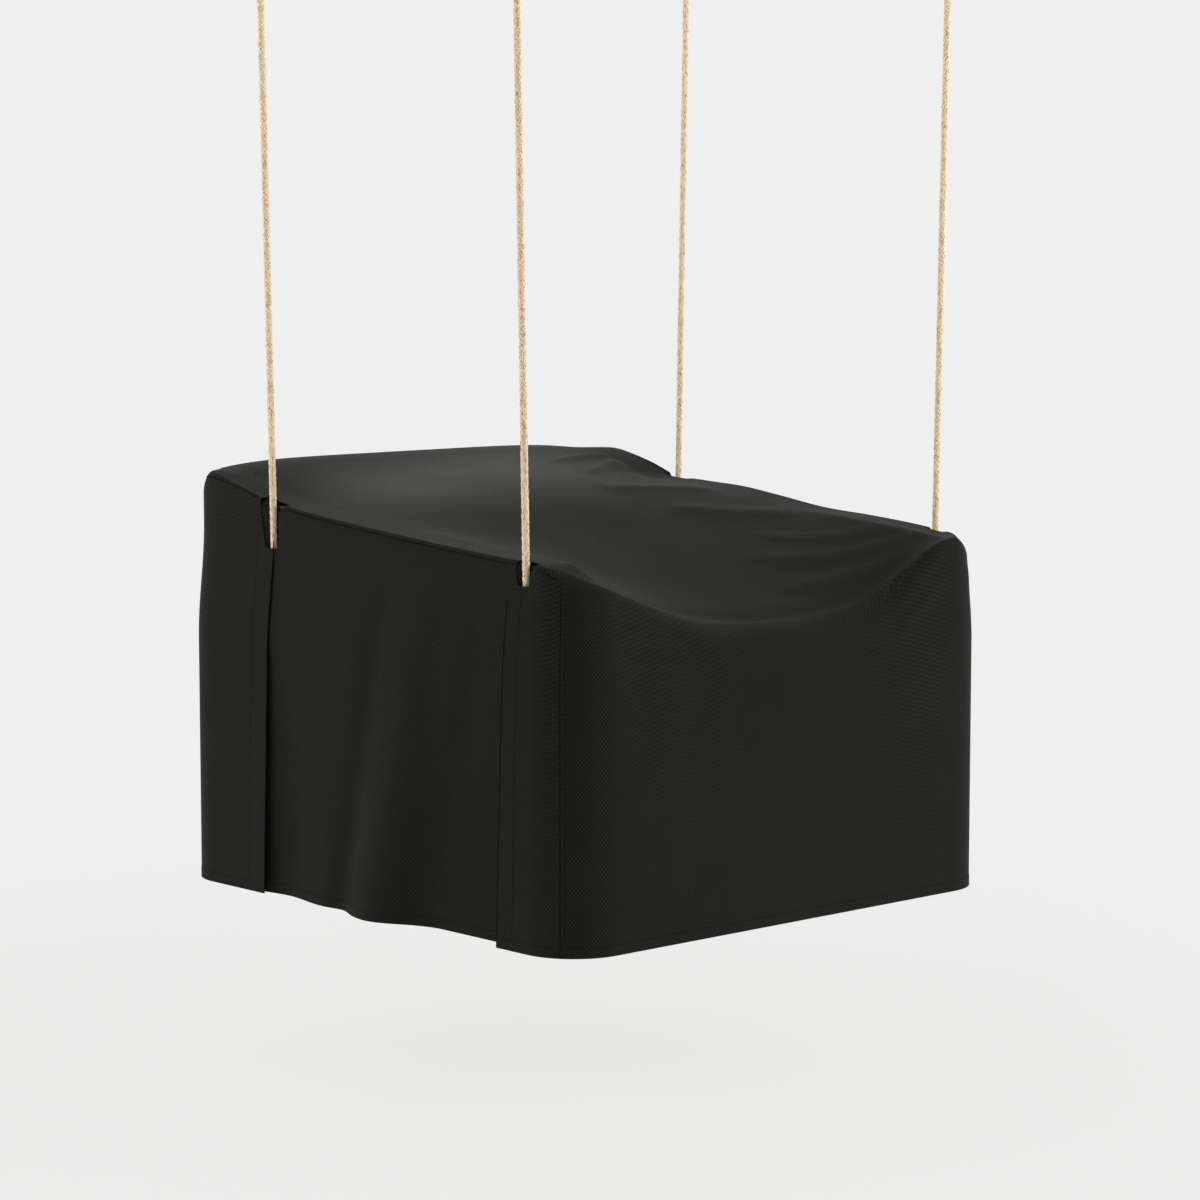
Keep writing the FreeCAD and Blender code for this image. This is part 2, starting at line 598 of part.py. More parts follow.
def arms():
    """Posts under the ropes' guides, cut to the slope of the armrest boards that lie on them."""
    foot_y = f"{STUD_Y} - arm_overhang * cos({ARM_SLOPE})"
    foot_z = f"arm_height_front - arm_thickness / cos({ARM_SLOPE}) - arm_overhang * sin({ARM_SLOPE}) {HEM}"
    above = box("above_arm", "frame_width", f"{ARM_LENGTH} + overrun", "arm_height_rear")
    move(above, "-frame_width / 2 - overrun", foot_y, foot_z, Vector(1, 0, 0), ARM_SLOPE)
    for name, y in (("front", STUD_Y), ("rear", "beam_span_y / 2")):
        post = tube(f"{name}_post_blank", "tube_side", "tube_side", f"arm_height_rear - {BASE_TOP} {HEM}",
                    RAIL_X, f"{y} - tube_side / 2", BASE_TOP, "z")
        sides(f"{name}_post", cut(f"{name}_post_cut", post, above))
    board = box("arm_board", "arm_width", ARM_LENGTH, "arm_thickness")
    move(board, "-arm_outside", foot_y, foot_z, Vector(1, 0, 0), ARM_SLOPE)
    doc.recompute()
    rounded = doc.addObject("Part::Fillet", "arm_rounded")
    rounded.Base = board
    radius = size("arm_corner")
    front = min(e.BoundBox.YMin for e in board.Shape.Edges)
    upright = [i for i, e in enumerate(board.Shape.Edges, start=1)
               if e.BoundBox.XLength < size("arm_corner") and e.BoundBox.YMax < front + size("arm_thickness")]
    rounded.Edges = [(i, radius, radius) for i in upright]
    sides("armrest", rounded)


def back_frame():
    """Reclined uprights on the base rails, a round top rail, a lower rail, and slats on their front."""
    lean = dict(y="back_foot", z=BASE_TOP, axis=Vector(1, 0, 0), angle="-back_recline")
    half = "tube_side / 2"
    upright = tube("upright_blank", "tube_side", "tube_side", "back_length", RAIL_X, f"-{half}", "0", "z")
    foot = box("upright_foot", "frame_width", "back_length", "overrun")
    move(foot, "-frame_width / 2 - overrun", "-back_length / 2", "-overrun")
    foot_lean = group("upright_foot_lean", foot)
    move(foot_lean, axis=Vector(1, 0, 0), angle="back_recline")
    standing = cut("upright", upright, foot_lean)
    left = group("upright_left", standing)
    move(left, **lean)
    sides("back_upright", left)
    rail_z = "back_length + back_rail_diameter / 2"
    rail = rod_x("top_rail", "back_rail_diameter / 2", "frame_width", RAIL_X, "0", rail_z)
    node("back_top_rail", move(group("top_rail_leaning", rail), **lean))
    lower = tube("lower_rail", CROSS_LENGTH, "tube_side", "tube_side", f"-({CROSS_LENGTH}) / 2", f"-{half}",
                 "lower_rail_rise", "x")
    node("back_lower_rail", move(group("lower_rail_leaning", lower), **lean))
    pitch = f"(({CROSS_LENGTH} - 2 * back_slat_inset - back_slat_width) / {BACK_SLATS - 1})"
    slats = []
    for index in range(BACK_SLATS):
        x = f"-({CROSS_LENGTH}) / 2 + back_slat_inset + {pitch} * {index}"
        slats.append(box(f"back_slat_{index}", "back_slat_width", "back_slat_thickness",
                         f"{rail_z} - lower_rail_rise", x, f"-{half} - back_slat_thickness", "lower_rail_rise"))
    node("back_slats", move(group("back_slats_leaning", *slats), **lean))


def bowed(start, end, bow):
    """An arc from start to end whose middle stands off the straight line by bow."""
    return Part.Arc(start, (start + end) / 2 + bow, end).toShape()


def round_corner(centre, radius, start, end):
    """A quarter turn about a corner's centre, between two directions in degrees."""
    points = [centre + Vector(radius * math.cos(math.radians(a)), radius * math.sin(math.radians(a)), 0)
              for a in (start, (start + end) / 2, end)]
    return Part.Arc(*points).toShape()


def cushion_solid(width, depth, height):
    """A crowned cushion on the XY plane: its sides are drawn in between the corners."""
    wires = []
    radius = size("cushion_corner")
    for rise_share, in_share in CUSHION_LEVEL_SHARES:
        inset = in_share * height
        x, y = width / 2 - inset, depth / 2 - inset
        z = rise_share * height
        draw = size("cushion_draw")
        edges = []
        turns = ((1, -1, -90), (1, 1, 0), (-1, 1, 90), (-1, -1, 180))
        arcs = [round_corner(Vector(sx * (x - radius), sy * (y - radius), z), radius, a, a + 90)
                for sx, sy, a in turns]
        pulls = (Vector(-draw, 0, 0), Vector(0, -draw, 0), Vector(draw, 0, 0), Vector(0, draw, 0))
        for index, arc in enumerate(arcs):
            follower = arcs[(index + 1) % len(arcs)]
            edges += [arc, bowed(arc.valueAt(arc.LastParameter), follower.valueAt(follower.FirstParameter),
                                 pulls[index])]
        wires.append(Part.Wire(edges))
    return Part.makeLoft(wires, True, False)


def cushions():
    width = size("frame_width") - 2 * size("tube_side") - 2 * size("cushion_side_gap")
    deck = size("base_height") + size("tube_side") + size("seat_slat_thickness")
    depth = size("seat_cushion_depth")
    seat = cushion_solid(width, depth, size("seat_cushion_height"))
    middle = depth / 2 - size("seat_cushion_front")
    seat_z = deck + size("soft_gap") - size("hem_drop")
    node("seat_cushion", feature("seat_pad", seat, Placement(Vector(0, middle, seat_z), Rotation())))
    back = cushion_solid(width, size("back_cushion_height"), size("back_cushion_thickness"))
    lean = Placement(Vector(0, size("back_foot"), size("base_height") + size("tube_side") - size("hem_drop")),
                     Rotation(Vector(1, 0, 0), -size("back_recline")))
    face = -size("tube_side") / 2 - size("back_slat_thickness") - size("soft_gap")
    rise = size("back_cushion_rise") + size("back_cushion_height") / 2
    stand = Placement(Vector(0, face, rise), Rotation(Vector(1, 0, 0), 90))
    node("back_cushion", feature("back_pad", back, lean * stand))


def wall_wire(inset, height_share):
    """Plan outline of the cover at one height: rounded corners, and sides that fold in and out."""
    rise_share = height_share / WALL_LEVEL_SHARES[-1]
    lean_share = rise_share ** 5
    fold_share = (1 - FOLD_FADE_SHARE * rise_share) ** 2
    lean = lean_share * size("edge_lean") + inset
    x = size("cover_width") / 2 - lean
    middle = size("cover_middle")
    y = size("cover_depth") / 2 - END_LEAN_SHARE * lean_share * size("edge_lean") - inset
    z = height_share * size("cover_height") - size("hem_drop")
    radius = size("cover_corner") - inset
    slack = size("fold_slack") * fold_share
    bows = [-slack, size("fold_out") * fold_share, -size("fold_in") * fold_share]
    ends = [s * size("cover_depth") for s in FOLD_END_SHARES]
    stops = [-y + radius] + ends + [y - radius]
    edges = [bowed(Vector(-x + radius, middle - y, z), Vector(x - radius, middle - y, z), Vector(0, -slack, 0))]
    edges.append(round_corner(Vector(x - radius, middle - y + radius, z), radius, -90, 0))
    for start, end, bow in zip(stops, stops[1:], bows):
        edges.append(bowed(Vector(x, middle + start, z), Vector(x, middle + end, z), Vector(bow, 0, 0)))
    edges.append(round_corner(Vector(x - radius, middle + y - radius, z), radius, 0, 90))
    edges.append(bowed(Vector(x - radius, middle + y, z), Vector(-x + radius, middle + y, z), Vector(0, slack, 0)))
    edges.append(round_corner(Vector(-x + radius, middle + y - radius, z), radius, 90, 180))
    for start, end, bow in zip(stops[::-1], stops[-2::-1], bows[::-1]):
        edges.append(bowed(Vector(-x, middle + start, z), Vector(-x, middle + end, z), Vector(-bow, 0, 0)))
    edges.append(round_corner(Vector(-x + radius, middle - y + radius, z), radius, 180, 270))
    return Part.Wire(edges)


def wall_solid(inset):
    return Part.makeLoft([wall_wire(inset, share) for share in WALL_LEVEL_SHARES], True, False)


def above_top(drop):
    """Everything above the cover's top: low in the middle of the front, raised over the back."""
    half = size("cover_width") / 2
    high = size("cover_height")
    ceiling = WALL_LEVEL_SHARES[-1] * high + size("overrun")
    wires = []
    for depth_share, edge_share, shoulder_share, middle_share, bulge_share in TOP_STATION_SHARES:
        y = size("cover_middle") + depth_share * size("cover_depth") / 2

        def at(x_share, z):
            return Vector(x_share * half, y, z - drop - size("hem_drop"))

        edge, shoulder, middle = (s * high for s in (edge_share, shoulder_share, middle_share))
        outside = edge - OUTSIDE_DROP_SHARE * high
        bulge = Vector(0, 0, bulge_share * size("cover_corner"))
        points = [at(-OUTSIDE_SHARE, outside), at(-EDGE_SHARE, edge), at(-SHOULDER_SHARE, shoulder),
                  at(SHOULDER_SHARE, shoulder), at(EDGE_SHARE, edge), at(OUTSIDE_SHARE, outside),
                  at(OUTSIDE_SHARE, ceiling + drop), at(-OUTSIDE_SHARE, ceiling + drop)]
        line = [Part.LineSegment(a, b).toShape() for a, b in zip(points, points[1:] + points[:1])]
        line[1] = bowed(points[1], points[2], bulge)
        line[2] = bowed(points[2], points[3], Vector(0, 0, middle - shoulder))
        line[3] = bowed(points[3], points[4], bulge)
        wires.append(Part.Wire(line))
    return Part.makeLoft(wires, True, False)


def block(x_low, x_high, y_low, y_high, z_low, z_high):
    """A plain region between heights above the hem, with Y from the cover's middle."""
    corner = Vector(x_low, size("cover_middle") + y_low, z_low - size("hem_drop"))
    return Part.makeBox(x_high - x_low, y_high - y_low, z_high - z_low, corner)


def rope_slots():
    """Fans in which the ropes swing where they enter the cover, one at each corner."""
    fans = []
    half = size("rope_diameter") / 2 + size("slot_margin")
    spread = math.tan(math.radians(size("slot_fan")))
    top = size("cover_height") + size("overrun")
    depth = size("cover_width") / 2 + size("overrun") - size("slot_inside")
    for rope_y, foot in ((-size("beam_span_y") / 2, size("slot_front")), (size("beam_span_y") / 2, size("slot_rear"))):
        low = half + (foot - size("guide_height")) * spread
        high = half + (top - size("guide_height")) * spread
        outline = [(-low, foot), (low, foot), (high, top), (-high, top), (-low, foot)]
        for side in (-1, 1):
            face = Part.Face(Part.makePolygon([Vector(side * size("slot_inside"), rope_y + y, z - size("hem_drop"))
                                               for y, z in outline]))
            fans.append(face.extrude(Vector(side * depth, 0, 0)))
    return Part.makeCompound(fans)


def cover():
    """Sewn panels: a top with a turned edge, front and back, corner flaps, side panels under the flaps."""
    cloth = size("cloth")
    half_x, half_y = size("cover_width") / 2, size("cover_depth") / 2
    far = size("overrun")
    top = size("cover_height") + far
    panel_inset = cloth + size("flap_gap")
    skins = [wall_solid(inset).cut(above_top(inset)) for inset in (0, cloth, panel_inset, panel_inset + cloth)]
    shell = skins[0].cut(skins[1])
    inner_shell = skins[2].cut(skins[3])
    slots = rope_slots()
    lip = above_top(size("seam_lip"))
    node("cover_top", feature("top_panel", shell.common(lip).cut(slots)))
    walls = shell.cut(lip).cut(slots)
    seam_x = half_x - CORNER_SEAM_SHARE * size("cover_corner")
    ends = {}
    for name, y_low, y_high in (("front", -half_y - far, -half_y + size("cover_corner")),
                                ("back", half_y - size("cover_corner"), half_y + far)):
        ends[name] = block(-seam_x, seam_x, y_low, y_high, -far, top)
        node("cover_" + name, feature(name + "_panel", walls.common(ends[name])))
    free_front = -half_y + size("flap_front")
    free_rear = half_y - size("flap_rear")
    bounds = {"left": (-half_x - far, 0), "right": (0, half_x + far)}
    for side, (x_low, x_high) in bounds.items():
        flap = block(x_low, x_high, -half_y - far, free_front, -far, top).cut(ends["front"])
        node(f"cover_flap_front_{side}", feature(f"front_flap_{side}", walls.common(flap)))
        flap = block(x_low, x_high, free_rear, half_y + far, -far, top).cut(ends["back"])
        node(f"cover_flap_rear_{side}", feature(f"rear_flap_{side}", walls.common(flap)))
    panel_tops = above_top(panel_inset + cloth + size("soft_gap"))
    reach = size("flap_lap")
    for side, (x_low, x_high) in bounds.items():
        panel = block(x_low, x_high, free_front - reach, free_rear + reach, -far, top)
        solid = inner_shell.common(panel).cut(panel_tops).cut(slots)
        node(f"cover_side_{side}", feature(f"side_panel_{side}", solid))


beam_hangers()
pivot_bolts()
swing_links()
thimbles()
ropes()
rope_guides()
base_frame()
arms()
back_frame()
cushions()
cover()
doc.recompute()

for obj in doc.Objects:
    if {"Invalid", "Error"} & set(obj.State):
        raise RuntimeError(f"{obj.Label} failed: {obj.State}")
for obj in nodes:
    if obj.Shape.isNull() or not obj.Shape.isValid() or not obj.Shape.Solids:
        raise RuntimeError(f"{obj.Label} is not a valid solid")
os.makedirs("parts", exist_ok=True)
for obj in nodes:
    obj.Shape.exportStep(f"parts/{obj.Label}.step")
print(len(nodes), "nodes written")
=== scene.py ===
import math

import bmesh
import bpy
import numpy as np
from mathutils import Matrix, Vector, noise


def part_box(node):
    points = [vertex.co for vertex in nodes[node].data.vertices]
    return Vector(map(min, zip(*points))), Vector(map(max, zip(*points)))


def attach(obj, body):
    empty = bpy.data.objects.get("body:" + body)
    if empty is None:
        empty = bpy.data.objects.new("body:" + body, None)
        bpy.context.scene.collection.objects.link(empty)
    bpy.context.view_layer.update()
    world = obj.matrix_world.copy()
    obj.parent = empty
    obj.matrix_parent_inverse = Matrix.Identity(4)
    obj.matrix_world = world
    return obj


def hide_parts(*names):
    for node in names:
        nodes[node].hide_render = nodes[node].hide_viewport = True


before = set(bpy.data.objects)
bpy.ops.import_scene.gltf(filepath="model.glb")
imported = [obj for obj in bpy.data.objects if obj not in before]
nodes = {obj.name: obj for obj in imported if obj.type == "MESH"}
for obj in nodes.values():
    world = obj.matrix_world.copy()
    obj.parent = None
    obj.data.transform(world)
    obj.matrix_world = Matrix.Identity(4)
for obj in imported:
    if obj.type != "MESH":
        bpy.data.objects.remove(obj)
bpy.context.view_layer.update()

# Sizes in metres. The cover's heights are above its hem, and its depths are from its middle.
HEM_Z = -1.930
MIDDLE_Y = 0.072
HALF_X = 0.522
HALF_Y = 0.545
CORNER = 0.104
CLOTH = 0.0018
GUSSET_CLOTH = 0.001
HEM_BAND = 0.017
HEM_LIFT = 0.0007
PANEL_DEPTH = 0.0032
# The front corner seams lie to the sides of the corners' middles.
SEAM_SHIFT = 0.0185
# Free edges of the flaps, and the ends of the side panels under them.
FLAP_FRONT_Y = -0.361
FLAP_REAR_Y = 0.283
PANEL_FRONT_Y = -0.376
PANEL_REAR_Y = 0.313
# The slots fan open upwards, and reach further in front of the ropes than behind them.
SLOT_HALF = 0.0082
SLOT_START = 0.598
SLOT_ANGLE = math.radians(10.6)
SLOT_LEAD = 0.011
SLOT_TOP = 0.86
SLOT_INNER_X = 0.4885
SLOT_OUTER_X = 0.60
# The ropes: where they leave the seat and the links at the beam, and their sizes.
ROPE_X = 0.5
ROPE_Y = 0.343
BEND_Z = -1.332
SWAY_Z = -0.096
BEAM_X = 0.523
ROPE_RADIUS = 0.007
EYE_LENGTH = 0.062
EYE_DROP = 0.021
EYE_RADIUS = 0.0213
# Points of the cover: their gap round it, and rows up the walls, round the edge and over the top. The side
# and back panels end a few rows into the edge.
STATION_GAP = 0.0085
WALL_ROWS = 68
ROUND_ROWS = 9
LAP = 4
TOP_ROWS = 62
CORNERS = {"front_left": (-1, -1), "front_right": (1, -1), "rear_left": (-1, 1), "rear_right": (1, 1)}


# Materials

def material(name, colour, roughness, metallic=0.0, sheen=0.0, specular=0.5):
    """A material with its shader, ready for nodes that vary it."""
    made = bpy.data.materials.new(name)
    made.use_nodes = True
    inputs = shader_of(made).inputs
    inputs["Base Color"].default_value = (*colour, 1)
    inputs["Roughness"].default_value = roughness
    inputs["Metallic"].default_value = metallic
    inputs["Sheen Weight"].default_value = sheen
    inputs["Specular IOR Level"].default_value = specular
    return made


def add(mat, kind, **settings):
    node = mat.node_tree.nodes.new(kind)
    for key, value in settings.items():
        setattr(node, key, value)
    return node


def link(mat, source, target):
    mat.node_tree.links.new(source, target)


def shader_of(mat):
    return mat.node_tree.nodes["Principled BSDF"]


def feed(mat, source, name):
    """Links an output to an input of the material's own shader."""
    link(mat, source, shader_of(mat).inputs[name])


def place(mat, scale=(1, 1, 1), rotation=(0, 0, 0), space="Object"):
    """Texture coordinates with a scale and a turn."""
    mapping = add(mat, "ShaderNodeMapping")
    mapping.inputs["Scale"].default_value = scale
    mapping.inputs["Rotation"].default_value = rotation
    link(mat, add(mat, "ShaderNodeTexCoord").outputs[space], mapping.inputs["Vector"])
    return mapping.outputs["Vector"]


def grain(mat, vector, scale, detail=4.0, roughness=0.6):
    node = add(mat, "ShaderNodeTexNoise")
    node.inputs["Scale"].default_value = scale
    node.inputs["Detail"].default_value = detail
    node.inputs["Roughness"].default_value = roughness
    link(mat, vector, node.inputs["Vector"])
    return node.outputs["Fac"]


def ramp(mat, factor, *stops):
    """Colours along a factor."""
    node = add(mat, "ShaderNodeValToRGB")
    while len(node.color_ramp.elements) < len(stops):
        node.color_ramp.elements.new(0.5)
    for element, (position, colour) in zip(node.color_ramp.elements, stops):
        element.position = position
        element.color = (*colour, 1)
    link(mat, factor, node.inputs["Fac"])
    return node.outputs["Color"]


def span(mat, factor, low, high, start=0.0, end=1.0, **settings):
    """A factor from start to end spread over another range."""
    node = add(mat, "ShaderNodeMapRange", **settings)
    for name, value in (("From Min", start), ("From Max", end), ("To Min", low), ("To Max", high)):
        node.inputs[name].default_value = value
    link(mat, factor, node.inputs["Value"])
    return node.outputs["Result"]


def product(mat, a, b):
    """Two colours multiplied."""
    node = add(mat, "ShaderNodeMix", data_type="RGBA", blend_type="MULTIPLY")
    node.inputs["Factor"].default_value = 1.0
    link(mat, a, node.inputs["A"])
    link(mat, b, node.inputs["B"])
    return node.outputs["Result"]


def mixed(mat, factor, first, second):
    """Two shaders mixed."""
    node = add(mat, "ShaderNodeMixShader")
    link(mat, factor, node.inputs["Fac"])
    link(mat, first, node.inputs[1])
    link(mat, second, node.inputs[2])
    return node.outputs["Shader"]


def maths(mat, operation, a, b):
    node = add(mat, "ShaderNodeMath", operation=operation)
    for socket, value in zip(node.inputs, (a, b)):
        if isinstance(value, (int, float)):
            socket.default_value = value
        else:
            link(mat, value, socket)
    return node.outputs["Value"]


def bump(mat, height, distance, strength=1.0, under=None):
    node = add(mat, "ShaderNodeBump")
    node.inputs["Distance"].default_value = distance
    node.inputs["Strength"].default_value = strength
    link(mat, height, node.inputs["Height"])
    if under is not None:
        link(mat, under, node.inputs["Normal"])
    return node.outputs["Normal"]


def weave(mat, across_pitch, along_pitch):
    """Height of a weave of staggered cells over the cloth's own flat coordinates, from 0 to 1."""
    split = add(mat, "ShaderNodeSeparateXYZ")
    link(mat, add(mat, "ShaderNodeTexCoord").outputs["UV"], split.inputs["Vector"])
    across = maths(mat, "MULTIPLY", split.outputs["X"], 2 * math.pi / across_pitch)
    along = maths(mat, "MULTIPLY", split.outputs["Y"], 2 * math.pi / along_pitch)
    one = maths(mat, "SINE", maths(mat, "ADD", across, along), 0)
    other = maths(mat, "SINE", maths(mat, "SUBTRACT", across, along), 0)
    return span(mat, maths(mat, "ADD", one, other), 0, 1, -2, 2)


def cover_cloth():
    """Near-black cover cloth: a weave of staggered cells, cloudy patches and a faint sheen."""
    mat = material("cover_cloth", (0.018, 0.018, 0.0165), 0.72, sheen=0.035, specular=0.06)
    shader_of(mat).inputs["Sheen Roughness"].default_value = 0.25
    height = weave(mat, 0.0068, 0.0082)
    cloud = grain(mat, place(mat), 5.0, 5.0)
    tint = ramp(mat, cloud, (0.3, (0.0106, 0.0104, 0.0094)), (0.7, (0.0136, 0.0134, 0.0121)))
    dark, plain, light = (0.45, 0.45, 0.44), (0.98, 0.98, 0.97), (1.4, 1.4, 1.37)
    threads = ramp(mat, height, (0.1, dark), (0.45, plain), (0.9, light))
    feed(mat, product(mat, tint, threads), "Base Color")
    feed(mat, span(mat, cloud, 0.64, 0.8), "Roughness")
    coarse = bump(mat, grain(mat, place(mat), 26.0, 6.0), 0.002, 0.35)
    feed(mat, bump(mat, height, 0.0006, 0.6, coarse), "Normal")
    return mat


def rope_fibre():
    """Beige spun fibre with brown flecks."""
    mat = material("rope_fibre", (0.72, 0.54, 0.33), 0.85, sheen=0.25, specular=0.25)
    fleck = grain(mat, place(mat, (1, 1, 0.35)), 330.0, 3.0, 0.75)
    broad = grain(mat, place(mat), 70.0, 3.0)
    brown, beige, pale = (0.30, 0.17, 0.08), (0.80, 0.62, 0.41), (0.97, 0.83, 0.62)
    tint = ramp(mat, fleck, (0.34, brown), (0.44, beige), (0.7, pale))
    shade = ramp(mat, broad, (0.3, (0.86, 0.84, 0.80)), (0.65, (1.0, 1.0, 1.0)))
    feed(mat, product(mat, tint, shade), "Base Color")
    feed(mat, bump(mat, fleck, 0.0008, 0.5), "Normal")
    return mat


def rope_core():
    mat = material("rope_core", (0.45, 0.32, 0.19), 0.95)
    fleck = grain(mat, place(mat), 300.0)
    feed(mat, ramp(mat, fleck, (0.3, (0.30, 0.20, 0.11)), (0.7, (0.55, 0.41, 0.26))), "Base Color")
    return mat


def steel():
    """Zinc plated steel with fine brush marks and dull patches."""
    mat = material("zinc_steel", (0.56, 0.56, 0.55), 0.38, metallic=1.0)
    cloud = grain(mat, place(mat), 55.0, 5.0)
    feed(mat, ramp(mat, cloud, (0.3, (0.44, 0.44, 0.43)), (0.7, (0.62, 0.62, 0.60))), "Base Color")
    feed(mat, span(mat, cloud, 0.28, 0.52), "Roughness")
    fine = grain(mat, place(mat, (1, 1, 0.1)), 900.0, 2.0)
    feed(mat, bump(mat, fine, 0.0002, 0.25), "Normal")
    return mat


def powder_coat():
    mat = material("powder_coat", (0.022, 0.022, 0.022), 0.48)
    orange_peel = grain(mat, place(mat), 700.0, 2.0)
    cloud = grain(mat, place(mat), 12.0, 4.0)
    feed(mat, ramp(mat, cloud, (0.3, (0.017, 0.017, 0.017)), (0.75, (0.032, 0.031, 0.030))), "Base Color")
    feed(mat, span(mat, cloud, 0.40, 0.58), "Roughness")
    feed(mat, bump(mat, orange_peel, 0.0003, 0.3), "Normal")
    return mat


def nylon():
    mat = material("nylon", (0.78, 0.77, 0.72), 0.45)
    cloud = grain(mat, place(mat), 120.0)
    feed(mat, ramp(mat, cloud, (0.3, (0.70, 0.69, 0.64)), (0.7, (0.82, 0.81, 0.77))), "Base Color")
    feed(mat, bump(mat, cloud, 0.0002, 0.3), "Normal")
    return mat


def cap_plastic():
    mat = material("cap_plastic", (0.02, 0.02, 0.02), 0.55)
    fine = grain(mat, place(mat), 900.0, 2.0)
    feed(mat, span(mat, fine, 0.45, 0.65), "Roughness")
    feed(mat, bump(mat, fine, 0.0002, 0.4), "Normal")
    return mat


def timber(name, stretch):
    """Oiled hardwood whose grain runs along the axis that stretch shortens."""
    mat = material(name, (0.36, 0.20, 0.10), 0.5)
    vector = place(mat, stretch)
    broad = grain(mat, vector, 9.0, 6.0, 0.65)
    fine = grain(mat, vector, 85.0, 5.0, 0.7)
    both = maths(mat, "ADD", maths(mat, "MULTIPLY", fine, 0.35), maths(mat, "MULTIPLY", broad, 0.65))
    dark, plain, light = (0.17, 0.082, 0.036), (0.34, 0.185, 0.085), (0.46, 0.28, 0.14)
    feed(mat, ramp(mat, both, (0.32, dark), (0.5, plain), (0.68, light)), "Base Color")
    feed(mat, span(mat, fine, 0.42, 0.62), "Roughness")
    feed(mat, bump(mat, fine, 0.0006, 0.35), "Normal")
    return mat


def cushion_cloth():
    """Plain sand weave."""
    mat = material("cushion_cloth", (0.55, 0.50, 0.42), 0.9, sheen=0.2, specular=0.2)
    threads = []
    for axis in range(3):
        bands = add(mat, "ShaderNodeTexWave", wave_type="BANDS", bands_direction="XYZ"[axis])
        bands.inputs["Scale"].default_value = 130.0
        bands.inputs["Distortion"].default_value = 0.6
        link(mat, place(mat), bands.inputs["Vector"])
        threads.append(bands.outputs["Fac"])
    woven = maths(mat, "MAXIMUM", maths(mat, "MAXIMUM", threads[0], threads[1]), threads[2])
    cloud = grain(mat, place(mat), 9.0)
    tint = ramp(mat, cloud, (0.3, (0.47, 0.42, 0.345)), (0.7, (0.60, 0.55, 0.47)))
    shade = ramp(mat, woven, (0.2, (0.72, 0.71, 0.69)), (0.9, (1.0, 1.0, 1.0)))
    feed(mat, product(mat, tint, shade), "Base Color")
    feed(mat, bump(mat, woven, 0.0008, 0.5), "Normal")
    return mat


def thread():
    mat = material("thread", (0.006, 0.006, 0.006), 0.85, specular=0.05)
    fine = grain(mat, place(mat), 1500.0, 2.0)
    feed(mat, ramp(mat, fine, (0.3, (0.003, 0.003, 0.003)), (0.7, (0.008, 0.008, 0.0075))), "Base Color")
    return mat


COVER = cover_cloth()
ROPE = rope_fibre()
CORE = rope_core()
STEEL = steel()
COAT = powder_coat()
NYLON = nylon()
CAP = cap_plastic()
TIMBER_Y = timber("timber_along_y", (1, 0.05, 1))
TIMBER_Z = timber("timber_along_z", (1, 1, 0.05))
CUSHION = cushion_cloth()
THREAD = thread()


def placed(name, data):
    """A new object in the scene."""
    obj = bpy.data.objects.new(name, data)
    bpy.context.scene.collection.objects.link(obj)
    return obj


def mesh_object(name, points, faces, mat, smooth=True):
    data = bpy.data.meshes.new(name)
    data.from_pydata([tuple(p) for p in points], [], faces)
    data.validate()
    data.materials.append(mat)
    if smooth:
        data.polygons.foreach_set("use_smooth", [True] * len(data.polygons))
    return placed(name, data)


# Shape of the cover

def smooth(points):
    """A smooth line through given points (position, value)."""
    at = np.array([p[0] for p in points], float)
    value = np.array([p[1] for p in points], float)
    slope = np.gradient(value, at)

    def line(t):
        t = np.clip(np.asarray(t, float), at[0], at[-1])
        i = np.clip(np.searchsorted(at, t, side="right") - 1, 0, len(at) - 2)
        width = at[i + 1] - at[i]
        q = (t - at[i]) / width
        a = (1 + 2 * q) * (1 - q) ** 2
        b = q * (1 - q) ** 2
        c = q ** 2 * (3 - 2 * q)
        d = q ** 2 * (q - 1)
        return a * value[i] + b * width * slope[i] + c * value[i + 1] + d * width * slope[i + 1]

    return line


def step(value, low, high):
    """A soft step from 0 to 1 between two values."""
    t = np.clip((np.asarray(value, float) - low) / (high - low), 0, 1)
    return t * t * (3 - 2 * t)


# Heights of the top along its sides and its middle, by depth, and along the front, by width.
LEFT_EDGE = smooth([
    (-0.56, 0.625), (-0.50, 0.641), (-0.44, 0.649), (-0.30, 0.659), (-0.10, 0.674), (0.05, 0.687),
    (0.20, 0.702), (0.29, 0.715), (0.38, 0.738), (0.46, 0.756), (0.56, 0.757)])
RIGHT_EDGE = smooth([
    (-0.56, 0.624), (-0.50, 0.637), (-0.44, 0.645), (-0.34, 0.656), (-0.24, 0.664), (-0.13, 0.671),
    (0.0, 0.688), (0.09, 0.699), (0.20, 0.705), (0.29, 0.712), (0.37, 0.737), (0.45, 0.756), (0.56, 0.757)])
FRONT_EDGE = smooth([
    (-0.53, 0.640), (-0.44, 0.616), (-0.35, 0.584), (-0.21, 0.543), (-0.12, 0.524), (-0.02, 0.514),
    (0.10, 0.516), (0.18, 0.530), (0.23, 0.549), (0.28, 0.574), (0.33, 0.605), (0.38, 0.634),
    (0.42, 0.643), (0.47, 0.643), (0.53, 0.630)])
MIDDLE_SAG = smooth([
    (-0.56, 0.503), (-0.50, 0.522), (-0.40, 0.556), (-0.30, 0.590), (-0.20, 0.622), (-0.10, 0.653),
    (-0.02, 0.677), (0.05, 0.695), (0.12, 0.707), (0.22, 0.724), (0.32, 0.742), (0.40, 0.757),
    (0.46, 0.766), (0.56, 0.771)])


